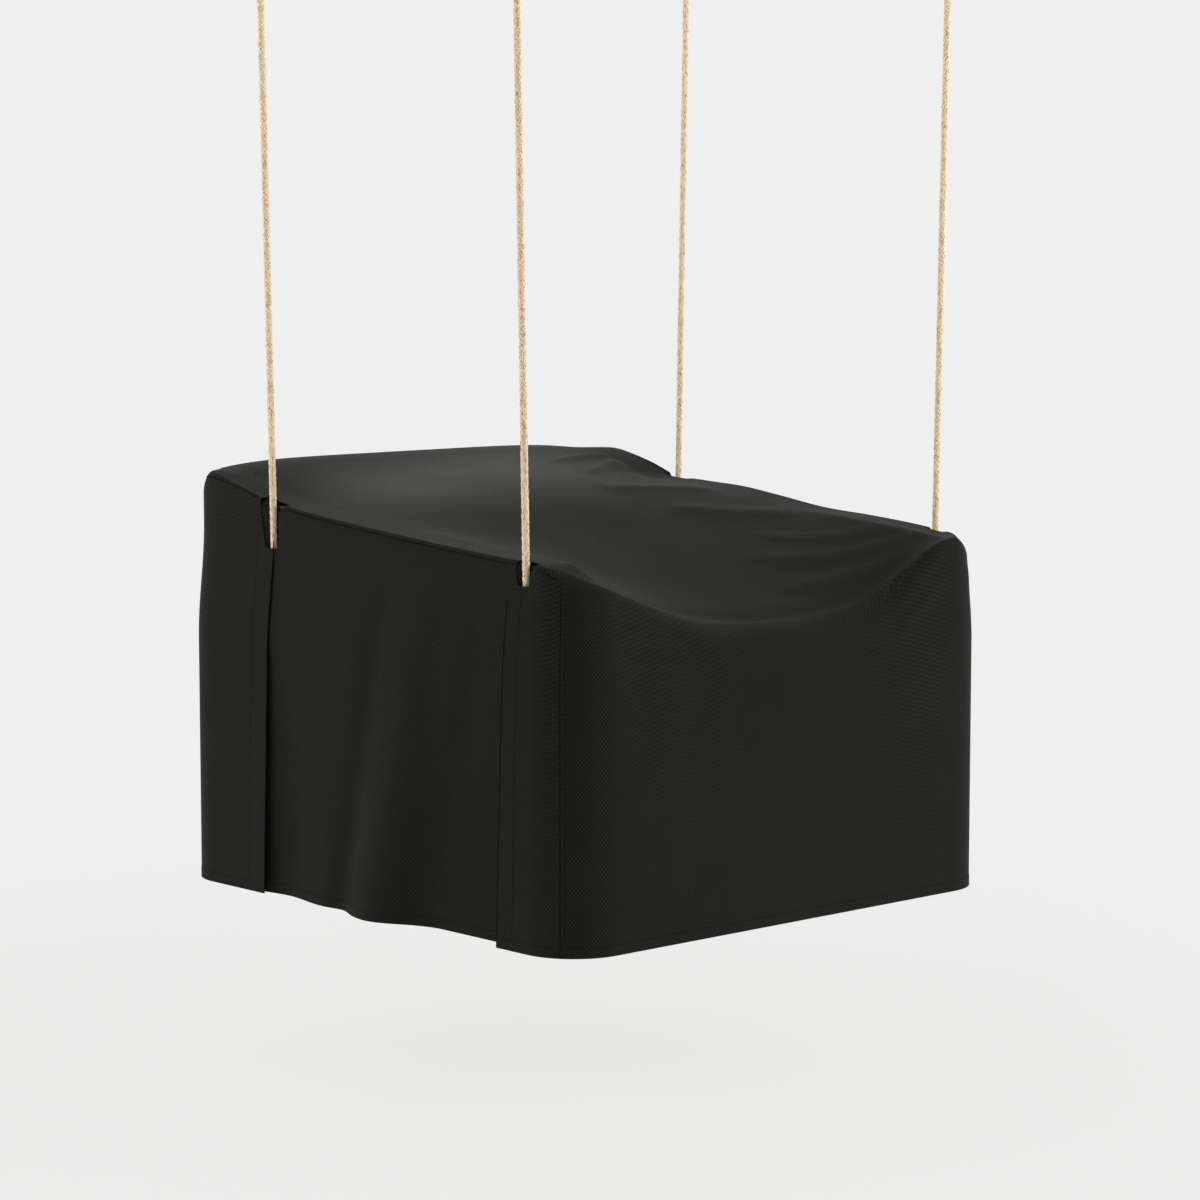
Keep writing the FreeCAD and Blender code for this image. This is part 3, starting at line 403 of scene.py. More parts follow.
def top_height(x, y):
    """Height of the cover's top: held up by the arms and the back, sagging between them towards the front."""
    x, y = np.asarray(x, float), np.asarray(y, float)
    side = np.where(x < 0, LEFT_EDGE(y), RIGHT_EDGE(y))
    power = 2.4 + 3.0 * step(y, 0.20, 0.44)
    across = np.clip(np.abs(x) / 0.43, 0, 1)
    sag = MIDDLE_SAG(y) + (side - MIDDLE_SAG(y)) * across ** power
    front = 1 - step(y, -0.535, -0.445)
    return sag + (FRONT_EDGE(x) - sag) * front


def swell(offset, width, power=2):
    """A soft bump that is 1 at its middle."""
    return np.exp(-(np.abs(offset) / width) ** power)


def ridge(x, y, start, end, width, height):
    """Height of a soft fold of the top along a line from start to end."""
    (x0, y0), (x1, y1) = start, end
    length = math.hypot(x1 - x0, y1 - y0)
    ux, uy = (x1 - x0) / length, (y1 - y0) / length
    along = ((x - x0) * ux + (y - y0) * uy) / length
    off = -(x - x0) * uy + (y - y0) * ux
    fade = step(along, 0.0, 0.3) * (1 - step(along, 0.85, 1.15))
    return height * swell(off, width) * fade


# Folds of the top: start and end of each, its width and its height.
TOP_FOLDS = (
    ((0.47, -0.49), (0.14, -0.40), 0.032, 0.006),
    ((0.46, -0.46), (0.18, -0.28), 0.028, 0.004),
    ((0.46, -0.40), (0.26, -0.20), 0.026, 0.003),
    ((0.44, -0.16), (0.22, -0.02), 0.036, 0.005),
    ((0.43, 0.08), (0.20, 0.13), 0.036, 0.005),
    ((0.44, 0.37), (0.27, 0.27), 0.016, 0.006),
    ((0.45, 0.41), (0.25, 0.35), 0.013, 0.005),
)


def rough(x, y, scale, seed):
    """Gentle unevenness of cloth, about -1 to 1, at a size in metres."""
    return np.array([noise.noise(Vector((a / scale, b / scale, seed))) for a, b in zip(x, y)])


# The plan outline: its straight runs, its corners' arcs, and stations along it from the middle of the front.
RUN_X = HALF_X - CORNER
RUN_Y = HALF_Y - CORNER
ARC = math.pi * CORNER / 2
TOTAL = 4 * (RUN_X + RUN_Y + ARC)


def on_right(y):
    """Station of a depth on the right side."""
    return RUN_X + ARC + y + RUN_Y


SEAM_FRONT = RUN_X + ARC / 2 + SEAM_SHIFT
SEAM_BACK = on_right(RUN_Y) + ARC / 2
FLAP_FRONT = on_right(FLAP_FRONT_Y)
FLAP_REAR = on_right(FLAP_REAR_Y)
PANEL_FRONT = on_right(PANEL_FRONT_Y)
PANEL_REAR = on_right(PANEL_REAR_Y)


def perimeter():
    """Stations round the plan outline, from the middle of the front to the right, with marks at the seams."""
    marks = [0, RUN_X, SEAM_FRONT, RUN_X + ARC, PANEL_FRONT, FLAP_FRONT, FLAP_REAR, PANEL_REAR]
    marks += [on_right(RUN_Y), SEAM_BACK, on_right(RUN_Y) + ARC, TOTAL / 2]
    marks += [TOTAL - m for m in marks[-2::-1]]
    stations = []
    for a, b in zip(marks, marks[1:]):
        count = max(2, round((b - a) / STATION_GAP))
        stations += list(np.linspace(a, b, count, endpoint=False))
    return np.array(stations)


def plan(s):
    """Point and outward direction of the plan outline at stations."""
    half = np.where(s > TOTAL / 2, TOTAL - s, s)
    side = np.where(s > TOTAL / 2, -1.0, 1.0)
    x, y, nx, ny = (np.zeros_like(half) for _ in range(4))
    a, b, c, d = RUN_X, RUN_X + ARC, RUN_X + ARC + 2 * RUN_Y, RUN_X + 2 * ARC + 2 * RUN_Y
    k = half <= a
    x[k], y[k], ny[k] = half[k], -HALF_Y, -1
    k = (half > a) & (half <= b)
    turn = (half[k] - a) / CORNER
    x[k], y[k] = RUN_X + CORNER * np.sin(turn), -RUN_Y - CORNER * np.cos(turn)
    nx[k], ny[k] = np.sin(turn), -np.cos(turn)
    k = (half > b) & (half <= c)
    x[k], y[k], nx[k] = HALF_X, half[k] - b - RUN_Y, 1
    k = (half > c) & (half <= d)
    turn = (half[k] - c) / CORNER
    x[k], y[k] = RUN_X + CORNER * np.cos(turn), RUN_Y + CORNER * np.sin(turn)
    nx[k], ny[k] = np.cos(turn), np.sin(turn)
    k = half > d
    x[k], y[k], ny[k] = RUN_X - (half[k] - d), HALF_Y, 1
    return x * side, y, nx * side, ny


STATIONS = perimeter()
PLAN_X, PLAN_Y, OUT_X, OUT_Y = plan(STATIONS)
SIGNED = np.where(STATIONS > TOTAL / 2, STATIONS - TOTAL, STATIONS)
SIDE = step(np.abs(OUT_X), 0.9, 1.0)


def edge_radius():
    """Rounding between a wall and the top: tight at the sides, broad along the front."""
    front = step(-PLAN_Y, HALF_Y - 0.05, HALF_Y) * (1 - step(np.abs(PLAN_X - 0.02), 0.10, 0.44))
    back = step(PLAN_Y, HALF_Y - 0.06, HALF_Y)
    corner = step(4 * (OUT_X * OUT_Y) ** 2, 0.0, 1.0)
    return 0.021 + 0.044 * front + 0.012 * back + 0.020 * corner


RADIUS = edge_radius()
EDGE = top_height(PLAN_X - OUT_X * RADIUS, PLAN_Y - OUT_Y * RADIUS)
FOOT = EDGE - RADIUS


def wall_lean(h):
    """The walls draw in towards the top."""
    return 0.012 * step(h, 0.45, 0.66)


def slant(y, h):
    """The flaps' edges and the panels between them slant backwards on their way down."""
    return -0.022 * (h / 0.6) * (1 - step(np.abs(y), 0.36, 0.47))


def panel_folds(h):
    """The side panels' large fold, which grows towards the hem, and the hollows beside it."""
    low = np.clip(1 - h / 0.65, 0, 1)
    crest = PLAN_Y + 0.040 + 0.18 * h
    fold = 0.024 * swell(crest, 0.074, 2.2) * low ** 0.9
    crease = 0.005 * swell(crest + 0.105, 0.036) * step(h, 0.22, 0.38) * (1 - step(h, 0.46, 0.6))
    rear_hollow = 0.018 * swell(PLAN_Y - 0.235, 0.075) * low * (1 - step(h, 0.36, 0.50))
    front_fall = 0.028 * step(-crest, -0.01, 0.14) * low ** 0.9
    groove = 0.009 * swell(crest - 0.105, 0.032) * low ** 0.6
    beside_slot = 0.0013 * swell(PLAN_Y - 0.285, 0.035) * swell(h - 0.62, 0.045)
    return fold + crease - rear_hollow - front_fall - groove + beside_slot


def front_folds(h):
    """The front wall's slight belly, and the roll of cloth below its top edge."""
    belly = 0.004 * np.sin(np.pi * np.clip(h / 0.55, 0, 1)) * np.cos(PLAN_X * 3.0)
    roll = 0.005 * swell(h - FOOT + 0.030, 0.022) * step(PLAN_X, -0.3, 0.1)
    return belly + roll


def wall_shift(h, layer):
    """How far a wall stands out of the plan outline: the outer cloth, or the side panels under the flaps."""
    shift = -wall_lean(h)
    if layer == "panel":
        shift = shift + SIDE * panel_folds(h) - PANEL_DEPTH
    else:
        shift = shift + step(-OUT_Y, 0.7, 1.0) * front_folds(h)
    return shift + np.where(h < HEM_BAND, HEM_LIFT, 0.0)


def cover_rows(layer):
    """Rows of points from the hem up the walls, over the rounded edge, and over the top to its middle."""
    rows = []
    lower = [0.0, HEM_BAND - 0.0012, HEM_BAND + 0.0008]
    shares = np.linspace(0, 1, WALL_ROWS - len(lower) + 2)[1:]
    levels = [np.full_like(FOOT, h) for h in lower] + [lower[-1] + (FOOT - lower[-1]) * q for q in shares]
    for h in levels:
        out = wall_shift(h, layer)
        y = PLAN_Y + SIDE * slant(PLAN_Y, h)
        if layer == "panel":
            # Low down, the panel's front end reaches further under the front flap.
            y = y - 0.036 * step(-PLAN_Y, 0.340, 0.376) * (1 - step(h, 0.25, 0.50))
        rows.append(np.stack([PLAN_X + OUT_X * out, y + OUT_Y * out, h], axis=1))
    out = wall_shift(FOOT, layer)
    for k in range(1, ROUND_ROWS + 1):
        angle = math.pi / 2 * k / ROUND_ROWS
        shift = out * math.cos(angle) - RADIUS * (1 - math.cos(angle))
        y = PLAN_Y + SIDE * slant(PLAN_Y, FOOT) * math.cos(angle)
        h = FOOT + RADIUS * math.sin(angle)
        rows.append(np.stack([PLAN_X + OUT_X * shift, y + OUT_Y * shift, h], axis=1))
    start_x, start_y = PLAN_X - OUT_X * RADIUS, PLAN_Y - OUT_Y * RADIUS
    for k in range(1, TOP_ROWS + 1):
        t = (k / TOP_ROWS) ** 0.92
        x = start_x * (1 - t)
        y = start_y * (1 - t) + 0.02 * t
        h = top_height(x, y)
        for fold in TOP_FOLDS:
            h = h + ridge(x, y, *fold) * step(t, 0.0, 0.12)
        h = h + 0.0022 * rough(x, y, 0.16, 3.1) * step(t, 0.0, 0.1)
        rows.append(np.stack([x, y, h], axis=1))
    return rows, len(levels)


def to_frame(points):
    """Points of the cover in the shared frame."""
    return np.asarray(points) + np.array([0, MIDDLE_Y, HEM_Z])


def cloth_piece(name, rows, walls, shown):
    """A sheet from rows of points, with flat lengths of the cloth as UV. shown gives each row's columns."""
    count = len(STATIONS)
    middle = len(rows) - 1
    used, points, faces, coords = {}, [], [], []

    def point(j, i):
        i = 0 if j == middle else i
        if (j, i) not in used:
            used[j, i] = len(points)
            points.append(rows[j][i])
        return used[j, i]

    for j in range(len(rows) - 1):
        for i in shown(j):
            k = (i + 1) % count
            ends = [(j, i), (j, k), (j + 1, k), (j + 1, i)]
            if j + 1 == middle:
                ends.pop()
            faces.append([point(*end) for end in ends])
            if j >= walls + ROUND_ROWS - 1:
                coords += [(rows[a][c][0], rows[a][c][1]) for a, c in ends]
            else:
                end = SIGNED[k] + (TOTAL if SIGNED[k] < SIGNED[i] else 0)
                low, high = rows[j][i][2], rows[j + 1][i][2]
                coords += [(SIGNED[i], low), (end, low), (end, high), (SIGNED[i], high)]
    obj = mesh_object(name, to_frame(points), faces, COVER)
    layer = obj.data.uv_layers.new(name="cloth")
    layer.data.foreach_set("uv", np.array(coords).ravel())
    return obj


def thicken(obj, thickness=CLOTH):
    """Gives a sheet its thickness, inwards, with a rim in the near-black thread: painted shade along its cut
    edges, darker than the cloth.
    """
    made = obj.modifiers.new("cloth", "SOLIDIFY")
    made.thickness = thickness
    made.offset = -1.0
    obj.data.materials.append(THREAD)
    # The rim takes the thread's near-black colour: painted shade along the cloth's cut edges.
    made.material_offset_rim = 1
    return obj


def columns_between(start, end):
    """Faces' columns from one station to another, past the middle of the front if start is larger."""
    near = 1e-6
    late, early = STATIONS >= start - near, STATIONS < end - near
    if start <= end:
        return list(np.where(late & early)[0])
    return list(np.where(late)[0]) + list(np.where(early)[0])


def slot_half(h):
    """Half the width of a rope's slot at a height."""
    return SLOT_HALF + (h - SLOT_START) * math.tan(SLOT_ANGLE)


def slot_foot(sy):
    """Height of a slot's lower end, at the front or at the rear."""
    return 0.612 if sy < 0 else 0.628


def wedge(corner):
    """Cutter for a rope's slot: a fan in which the rope swings, wider in front, with a narrower foot."""
    sx, sy = CORNERS[corner]
    foot = slot_foot(sy)
    rise = foot + 0.005
    behind = [(0.75 * slot_half(foot), foot), (slot_half(rise), rise), (slot_half(SLOT_TOP), SLOT_TOP)]
    before = [(-slot_half(SLOT_TOP) - SLOT_LEAD, SLOT_TOP), (-slot_half(rise) - SLOT_LEAD, rise)]
    outline = [(-0.75 * (slot_half(foot) + SLOT_LEAD), foot)] + behind + before
    count = len(outline)
    ends = (SLOT_INNER_X, SLOT_OUTER_X)
    points = [(sx * x, sy * ROPE_Y + y, h + HEM_Z) for x in ends for y, h in outline]
    faces = [tuple(range(count)), tuple(range(2 * count - 1, count - 1, -1))]
    for k in range(count):
        n = (k + 1) % count
        faces.append((k, k + count, n + count, n))
    obj = mesh_object("cutter_" + corner, points, faces, COVER, smooth=False)
    made = bmesh.new()
    made.from_mesh(obj.data)
    bmesh.ops.recalc_face_normals(made, faces=made.faces)
    made.to_mesh(obj.data)
    made.free()
    return obj


def applied(obj):
    """Applies an object's modifiers to its mesh."""
    bpy.context.view_layer.update()
    shown = obj.evaluated_get(bpy.context.evaluated_depsgraph_get())
    data = bpy.data.meshes.new_from_object(shown)
    obj.modifiers.clear()
    obj.data = data
    return obj


def creased(obj):
    """Keeps the cut edges of a cloth sharp."""
    made = bmesh.new()
    made.from_mesh(obj.data)
    for edge in made.edges:
        edge.smooth = len(edge.link_faces) == 2 and edge.calc_face_angle() < 0.9
    made.to_mesh(obj.data)
    made.free()


def slotted(obj, corners):
    for corner in corners:
        tool = wedge(corner)
        made = obj.modifiers.new("slot", "BOOLEAN")
        made.operation = "DIFFERENCE"
        made.solver = "EXACT"
        made.object = tool
        applied(obj)
        bpy.data.objects.remove(tool)


def finish_sheet(obj, nodes_replaced):
    creased(obj)
    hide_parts(*nodes_replaced)
    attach(obj, "seat")


def cover():
    """The sewn panels: top and front in one drape, the back, four corner flaps and two side panels."""
    rows, walls = cover_rows("outer")
    panel_rows, _ = cover_rows("panel")
    everywhere = list(range(len(STATIONS)))
    front = columns_between(TOTAL - SEAM_FRONT, SEAM_FRONT)
    edge = walls + LAP - 1

    def drape(j):
        return front if j < edge else everywhere

    def strip(start, end):
        found = columns_between(start, end)
        return lambda j: found if j < edge else []

    right = {"flap_front": (SEAM_FRONT, FLAP_FRONT), "flap_rear": (FLAP_REAR, SEAM_BACK),
             "side": (PANEL_FRONT, PANEL_REAR)}
    made = {"top": cloth_piece("cover_top_and_front", rows, walls, drape),
            "back": cloth_piece("cover_back_panel", rows, walls, strip(SEAM_BACK, TOTAL - SEAM_BACK))}
    for key, (a, b) in right.items():
        source = panel_rows if key == "side" else rows
        mirrored = strip(TOTAL - b, TOTAL - a)
        made[key + "_right"] = cloth_piece(f"cover_{key}_right_panel", source, walls, strip(a, b))
        made[key + "_left"] = cloth_piece(f"cover_{key}_left_panel", source, walls, mirrored)
    for obj in made.values():
        applied(thicken(obj))
    slotted(made["top"], list(CORNERS))
    for side in ("left", "right"):
        slotted(made["side_" + side], ["front_" + side, "rear_" + side])
        for end in ("front", "rear"):
            slotted(made[f"flap_{end}_{side}"], [f"{end}_{side}"])
            finish_sheet(made[f"flap_{end}_{side}"], [f"cover_flap_{end}_{side}"])
        finish_sheet(made["side_" + side], ["cover_side_" + side])
    finish_sheet(made["back"], ["cover_back"])
    finish_sheet(made["top"], ["cover_top", "cover_front"])
    return made, rows, panel_rows, walls


PANELS, COVER_ROWS, PANEL_ROWS, WALLS = cover()
SEWN_ON = {key: [] for key in PANELS}


def stitches(panel, name, line, normal, pitch=0.0062, length=0.0042, radius=0.0007):
    """A row of stitches along a line that lies on the cloth: short threads with gaps."""
    line = np.asarray(line)
    run = np.concatenate([[0], np.cumsum(np.linalg.norm(np.diff(line, axis=0), axis=1))])
    out, faces = [], []

    def at(s, values):
        return np.array([np.interp(s, run, values[:, c]) for c in range(3)])

    for s in np.arange(pitch / 2, run[-1] - length, pitch):
        a, b, n = at(s, line), at(s + length, line), at(s + length / 2, normal)
        along = (b - a) / np.linalg.norm(b - a)
        across = np.cross(n, along)
        first = len(out)
        for p, lift in ((a, -0.4), (a + (b - a) * 0.25, 1.0), (a + (b - a) * 0.75, 1.0), (b, -0.4)):
            out += [p + across * radius + n * (0.2 * lift - 0.2) * radius, p + n * lift * radius,
                    p - across * radius + n * (0.2 * lift - 0.2) * radius]
        for q in range(3):
            o = first + 3 * q
            faces += [(o, o + 3, o + 4, o + 1), (o + 1, o + 4, o + 5, o + 2)]
    sewn(panel, mesh_object(name, out, faces, THREAD))


def sewn(panel, obj):
    """A thread or a seam's roll rides on the seat and belongs to its panel."""
    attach(obj, "seat")
    SEWN_ON[panel].append(obj)


def column_of(station):
    return int(np.argmin(np.abs(STATIONS - station)))


def seam_column(panel, name, station, rows, inset):
    """Stitching up a wall, at a distance from a seam or an edge, with the edge's own slant."""
    i = column_of(station + inset)
    line = np.array([rows[j][i] for j in range(2, WALLS)])
    stitches(panel, name, to_frame(line), np.tile((OUT_X[i], OUT_Y[i], 0.0), (len(line), 1)))


def hem_line(panel, rows, columns):
    """Stitching along a panel's hem."""
    line = np.array([rows[2][i] for i in columns])
    n = np.array([(OUT_X[i], OUT_Y[i], 0.0) for i in columns])
    stitches(panel, "hem_stitches_" + panel, to_frame(line), n)


def piping(panel, name, points, radius):
    """The thin roll of a seam or an edge, in near-black thread; along the flaps' free edges it is also
    painted shadow of the gap under each flap.
    """
    out, faces = [], []
    tube(out, faces, np.asarray(points), radius, 6)
    sewn(panel, mesh_object(name, out, faces, THREAD))


# Ropes

def route(points):
    """Points along a smooth line through a cord's route."""
    data = bpy.data.curves.new("route", "CURVE")
    data.dimensions = "3D"
    data.resolution_u = 24
    spline = data.splines.new("NURBS")
    spline.points.add(len(points) - 1)
    for target, point in zip(spline.points, points):
        target.co = (*point, 1)
    spline.order_u = 3
    spline.use_endpoint_u = True
    obj = placed("route", data)
    bpy.context.view_layer.update()
    shown = obj.evaluated_get(bpy.context.evaluated_depsgraph_get())
    mesh = bpy.data.meshes.new_from_object(shown)
    found = [v.co.copy() for v in mesh.vertices]
    bpy.data.meshes.remove(mesh)
    bpy.data.objects.remove(obj)
    return found


def spaced(points, gap):
    """The same line with points at an even spacing."""
    line = np.array([tuple(p) for p in points])
    length = np.concatenate([[0], np.cumsum(np.linalg.norm(np.diff(line, axis=0), axis=1))])
    at = np.linspace(0, length[-1], max(2, round(length[-1] / gap)) + 1)
    return np.stack([np.interp(at, length, line[:, i]) for i in range(3)], axis=1), at


def frames(line):
    """Two directions across a line at each of its points, carried along without twist."""
    along = np.gradient(line, axis=0)
    along /= np.linalg.norm(along, axis=1)[:, None]
    first = np.array([0.0, 1.0, 0.0]) if abs(along[0][1]) < 0.8 else np.array([1.0, 0.0, 0.0])
    ones, twos = [], []
    for d in along:
        first = first - d * first.dot(d)
        first /= np.linalg.norm(first)
        ones.append(first)
        twos.append(np.cross(d, first))
    return np.array(ones), np.array(twos)


def tube(points_out, faces_out, line, radius, sides):
    """Adds a closed tube along a line to lists of points and faces."""
    ones, twos = frames(line)
    start = len(points_out)
    for p, a, b in zip(line, ones, twos):
        for k in range(sides):
            angle = 2 * math.pi * k / sides
            points_out.append(p + radius * (a * math.cos(angle) + b * math.sin(angle)))
    rings = len(line)
    for j in range(rings - 1):
        for k in range(sides):
            n = (k + 1) % sides
            faces_out.append((start + j * sides + k, start + j * sides + n,
                              start + (j + 1) * sides + n, start + (j + 1) * sides + k))
    faces_out.append(tuple(start + k for k in reversed(range(sides))))
    faces_out.append(tuple(start + (rings - 1) * sides + k for k in range(sides)))


def braid(name, points, radius, strands=6, pitch=0.052, per_turn=16):
    """A braided rope round a line: strands wound both ways, passing over and under, on a plain core."""
    line, at = spaced(points, pitch / per_turn)
    ones, twos = frames(line)
    out, faces = [], []
    strand = 0.30 * radius
    middle = radius - strand * 1.38
    turn = 2 * math.pi * at / pitch
    for way in (1, -1):
        for k in range(strands):
            angle = way * turn + 2 * math.pi * k / strands
            reach = middle + 0.36 * strand * np.sin(turn * strands + math.pi * k) * way
            across = ones * (reach * np.cos(angle))[:, None] + twos * (reach * np.sin(angle))[:, None]
            tube(out, faces, line + across, strand, 5)
    count = len(faces)
    tube(out, faces, line[::4] if len(line) > 12 else line, middle - 0.1 * strand, 10)
    obj = mesh_object(name, out, faces, ROPE)
    obj.data.materials.append(CORE)
    obj.data.polygons.foreach_set("material_index", [0] * count + [1] * (len(obj.data.polygons) - count))
    return obj, line


def whipping(name, centre, axis, radius, length, turns=9):
    """A tight winding of twine round a rope."""
    per_turn = 14
    steps = turns * per_turn
    line = []
    across = axis.orthogonal().normalized()
    other = axis.cross(across)
    for k in range(steps + 1):
        angle = 2 * math.pi * k / per_turn
        offset = (k / steps - 0.5) * length
        reach = (across * math.cos(angle) + other * math.sin(angle)) * radius
        line.append(tuple(centre + axis * offset + reach))
    out, faces = [], []
    tube(out, faces, np.array(line), length / turns * 0.5, 6)
    return mesh_object(name, out, faces, ROPE)


def eye_points(throat, down):
    """Route of a rope's eye, from its throat round the thimble and back."""
    angle = math.asin(EYE_RADIUS / EYE_LENGTH)
    touch = EYE_RADIUS * math.cos(angle)
    legs = EYE_LENGTH - EYE_RADIUS * math.sin(angle)
    straight = 0.98
    half = [(0.45 * touch, 0.45), (1.06 * touch, straight)]
    half += [(1.14 * EYE_RADIUS, 1.22), (0.86 * EYE_RADIUS, 1.42)]
    start = throat + down * 0.004
    points = [start]
    for y, share in half + [(0.0, 1.50)] + [(-y, share) for y, share in reversed(half)]:
        height = legs * min(share, straight) + 0.0555 * max(share - straight, 0.0)
        points.append(throat + Vector((0, y, 0)) - down * height)
    return points + [start]


def rope(corner):
    """A hanging rope: its run, its spliced eye round the thimble, and its knotted end under the arm guide."""
    sx, sy = CORNERS[corner]
    body = "hanging_rope_" + corner
    top = Vector((sx * BEAM_X, sy * ROPE_Y, SWAY_Z))
    low = Vector((sx * ROPE_X, sy * ROPE_Y, BEND_Z))
    down = (low - top).normalized()
    throat = top + down * (EYE_DROP + EYE_LENGTH)
    start = low - down * 0.0079
    way = route([start, (start + throat) / 2, throat + down * 0.012])
    run, line = braid("rope_run_" + corner, way, ROPE_RADIUS)
    eye, _ = braid("rope_eye_" + corner, route(eye_points(throat, down)), 0.0068, 5, 0.046, 14)
    splice = whipping("rope_splice_" + corner, throat + down * 0.014, down, 0.0082, 0.034)
    for obj in (run, eye, splice):
        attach(obj, body)
    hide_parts("rope_" + corner)
    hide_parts("rope_" + corner)
    knot_end(corner, low, down)


def knot_end(corner, low, down):
    """The stopper knot under the guide: three turns of rope drawn tight, and the short end."""
    name = "rope_tail_" + corner
    across = Vector((0, 1, 0))
    other = down.cross(across)
    centre = low + down * 0.0128
    steps = 96
    line = []
    for k in range(steps + 1):
        t = 2 * math.pi * k / steps
        r = 0.0046 + 0.0022 * math.cos(3 * t)
        round_rope = across * (r * math.cos(2 * t)) + other * (r * math.sin(2 * t))
        line.append(tuple(centre + round_rope + down * (0.0072 * math.sin(3 * t))))
    out, faces = [], []
    tube(out, faces, np.array(line), 0.0046, 12)
    knot = mesh_object("rope_knot_" + corner, out, faces, ROPE)
    way = route([low - down * 0.004, low + down * 0.02, low + down * 0.0505])
    end, _ = braid("rope_end_" + corner, way, 0.0066)
    cap = whipping("rope_end_whipping_" + corner, low + down * 0.047, down, 0.0068, 0.007, 4)
    for obj in (knot, end, cap):
        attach(obj, "seat")
        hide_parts(name)


for corner in CORNERS:
    rope(corner)


def rope_bend():
    """The turn of the front left rope inside its guide."""
    low = Vector((-ROPE_X, -ROPE_Y, BEND_Z))
    radius = 0.0058
    strands = 7
    steps = 32
    out, faces = [], []
    for k in range(strands):
        turned = Matrix.Rotation(math.pi * k / strands, 3, "Z")
        ring = []
        for j in range(steps + 1):
            a = 2 * math.pi * j / steps
            ring.append(tuple(low + turned @ Vector((radius * math.cos(a), 0.0, radius * math.sin(a)))))
        tube(out, faces, np.array(ring), 0.0011, 6)
    obj = mesh_object("rope_bend_strands", out, faces, ROPE)
    made = bmesh.new()
    bmesh.ops.create_icosphere(made, subdivisions=3, radius=radius, matrix=Matrix.Translation(low))
    data = bpy.data.meshes.new("rope_bend_core")
    made.to_mesh(data)
    made.free()
    data.materials.append(CORE)
    for piece in (obj, placed("rope_bend_core", data)):
        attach(piece, "bend")
        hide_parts("rope_bend_front_left")


rope_bend()


# Trimmings of the cover

def beside_rope(point):
    """Whether a point of the cover lies in a rope's slot."""
    gap = min(abs(point[1] + MIDDLE_Y - sy * ROPE_Y + SLOT_LEAD / 2) for sy in (-1, 1))
    return gap < slot_half(point[2]) + SLOT_LEAD / 2 + 0.002


def trimmings():
    """Stitching along hems, flaps and corner seams, dark rolls along the flaps' free edges that are partly
    painted shadow of the gaps under them, and the fine roll of the seam along the top's sides.
    """
    hems = {"top": (TOTAL - SEAM_FRONT, SEAM_FRONT), "back": (SEAM_BACK, TOTAL - SEAM_BACK),
            "flap_front_right": (SEAM_FRONT, FLAP_FRONT), "flap_rear_right": (FLAP_REAR, SEAM_BACK),
            "flap_front_left": (TOTAL - FLAP_FRONT, TOTAL - SEAM_FRONT),
            "flap_rear_left": (TOTAL - SEAM_BACK, TOTAL - FLAP_REAR),
            "side_right": (FLAP_FRONT, FLAP_REAR), "side_left": (TOTAL - FLAP_REAR, TOTAL - FLAP_FRONT)}
    for panel, ends in hems.items():
        hem_line(panel, PANEL_ROWS if panel.startswith("side") else COVER_ROWS, columns_between(*ends))
    for side, at, way in (("right", lambda s: s, 1), ("left", lambda s: TOTAL - s, -1)):
        for end, station, inset in (("front", FLAP_FRONT, -0.036), ("rear", FLAP_REAR, 0.046)):
            panel = f"flap_{end}_{side}"
            seam_column(panel, "stitches_" + panel, at(station), COVER_ROWS, inset * way)
            i = column_of(at(station))
            # A dark roll along the flap's free edge: partly the roll of its edge, partly a painted shadow of
            # the gap under the flap.
            piping(panel, "edge_" + panel, to_frame([COVER_ROWS[j][i] for j in range(1, WALLS - 5)]), 0.0009)
        for end, station, inset in (("front", SEAM_FRONT, -0.007), ("back", SEAM_BACK, 0.007)):
            panel = "top" if end == "front" else "back"
            i = column_of(at(station))
            line = to_frame([COVER_ROWS[j][i] for j in range(WALLS + LAP)])
            piping(panel, f"seam_{end}_{side}", line, 0.0008)
            seam_column(panel, f"stitches_{end}_{side}", at(station), COVER_ROWS, inset * way)
        columns = columns_between(*sorted((at(SEAM_FRONT), at(SEAM_BACK))))
        points, part = [], 0
        for i in columns + [None]:
            point = None if i is None else COVER_ROWS[WALLS + LAP - 1][i]
            if point is None or beside_rope(point):
                if len(points) > 3:
                    part += 1
                    piping("top", f"seam_top_{side}_{part}", to_frame(points), 0.0011)
                points = []
            else:
                points.append(point)


trimmings()


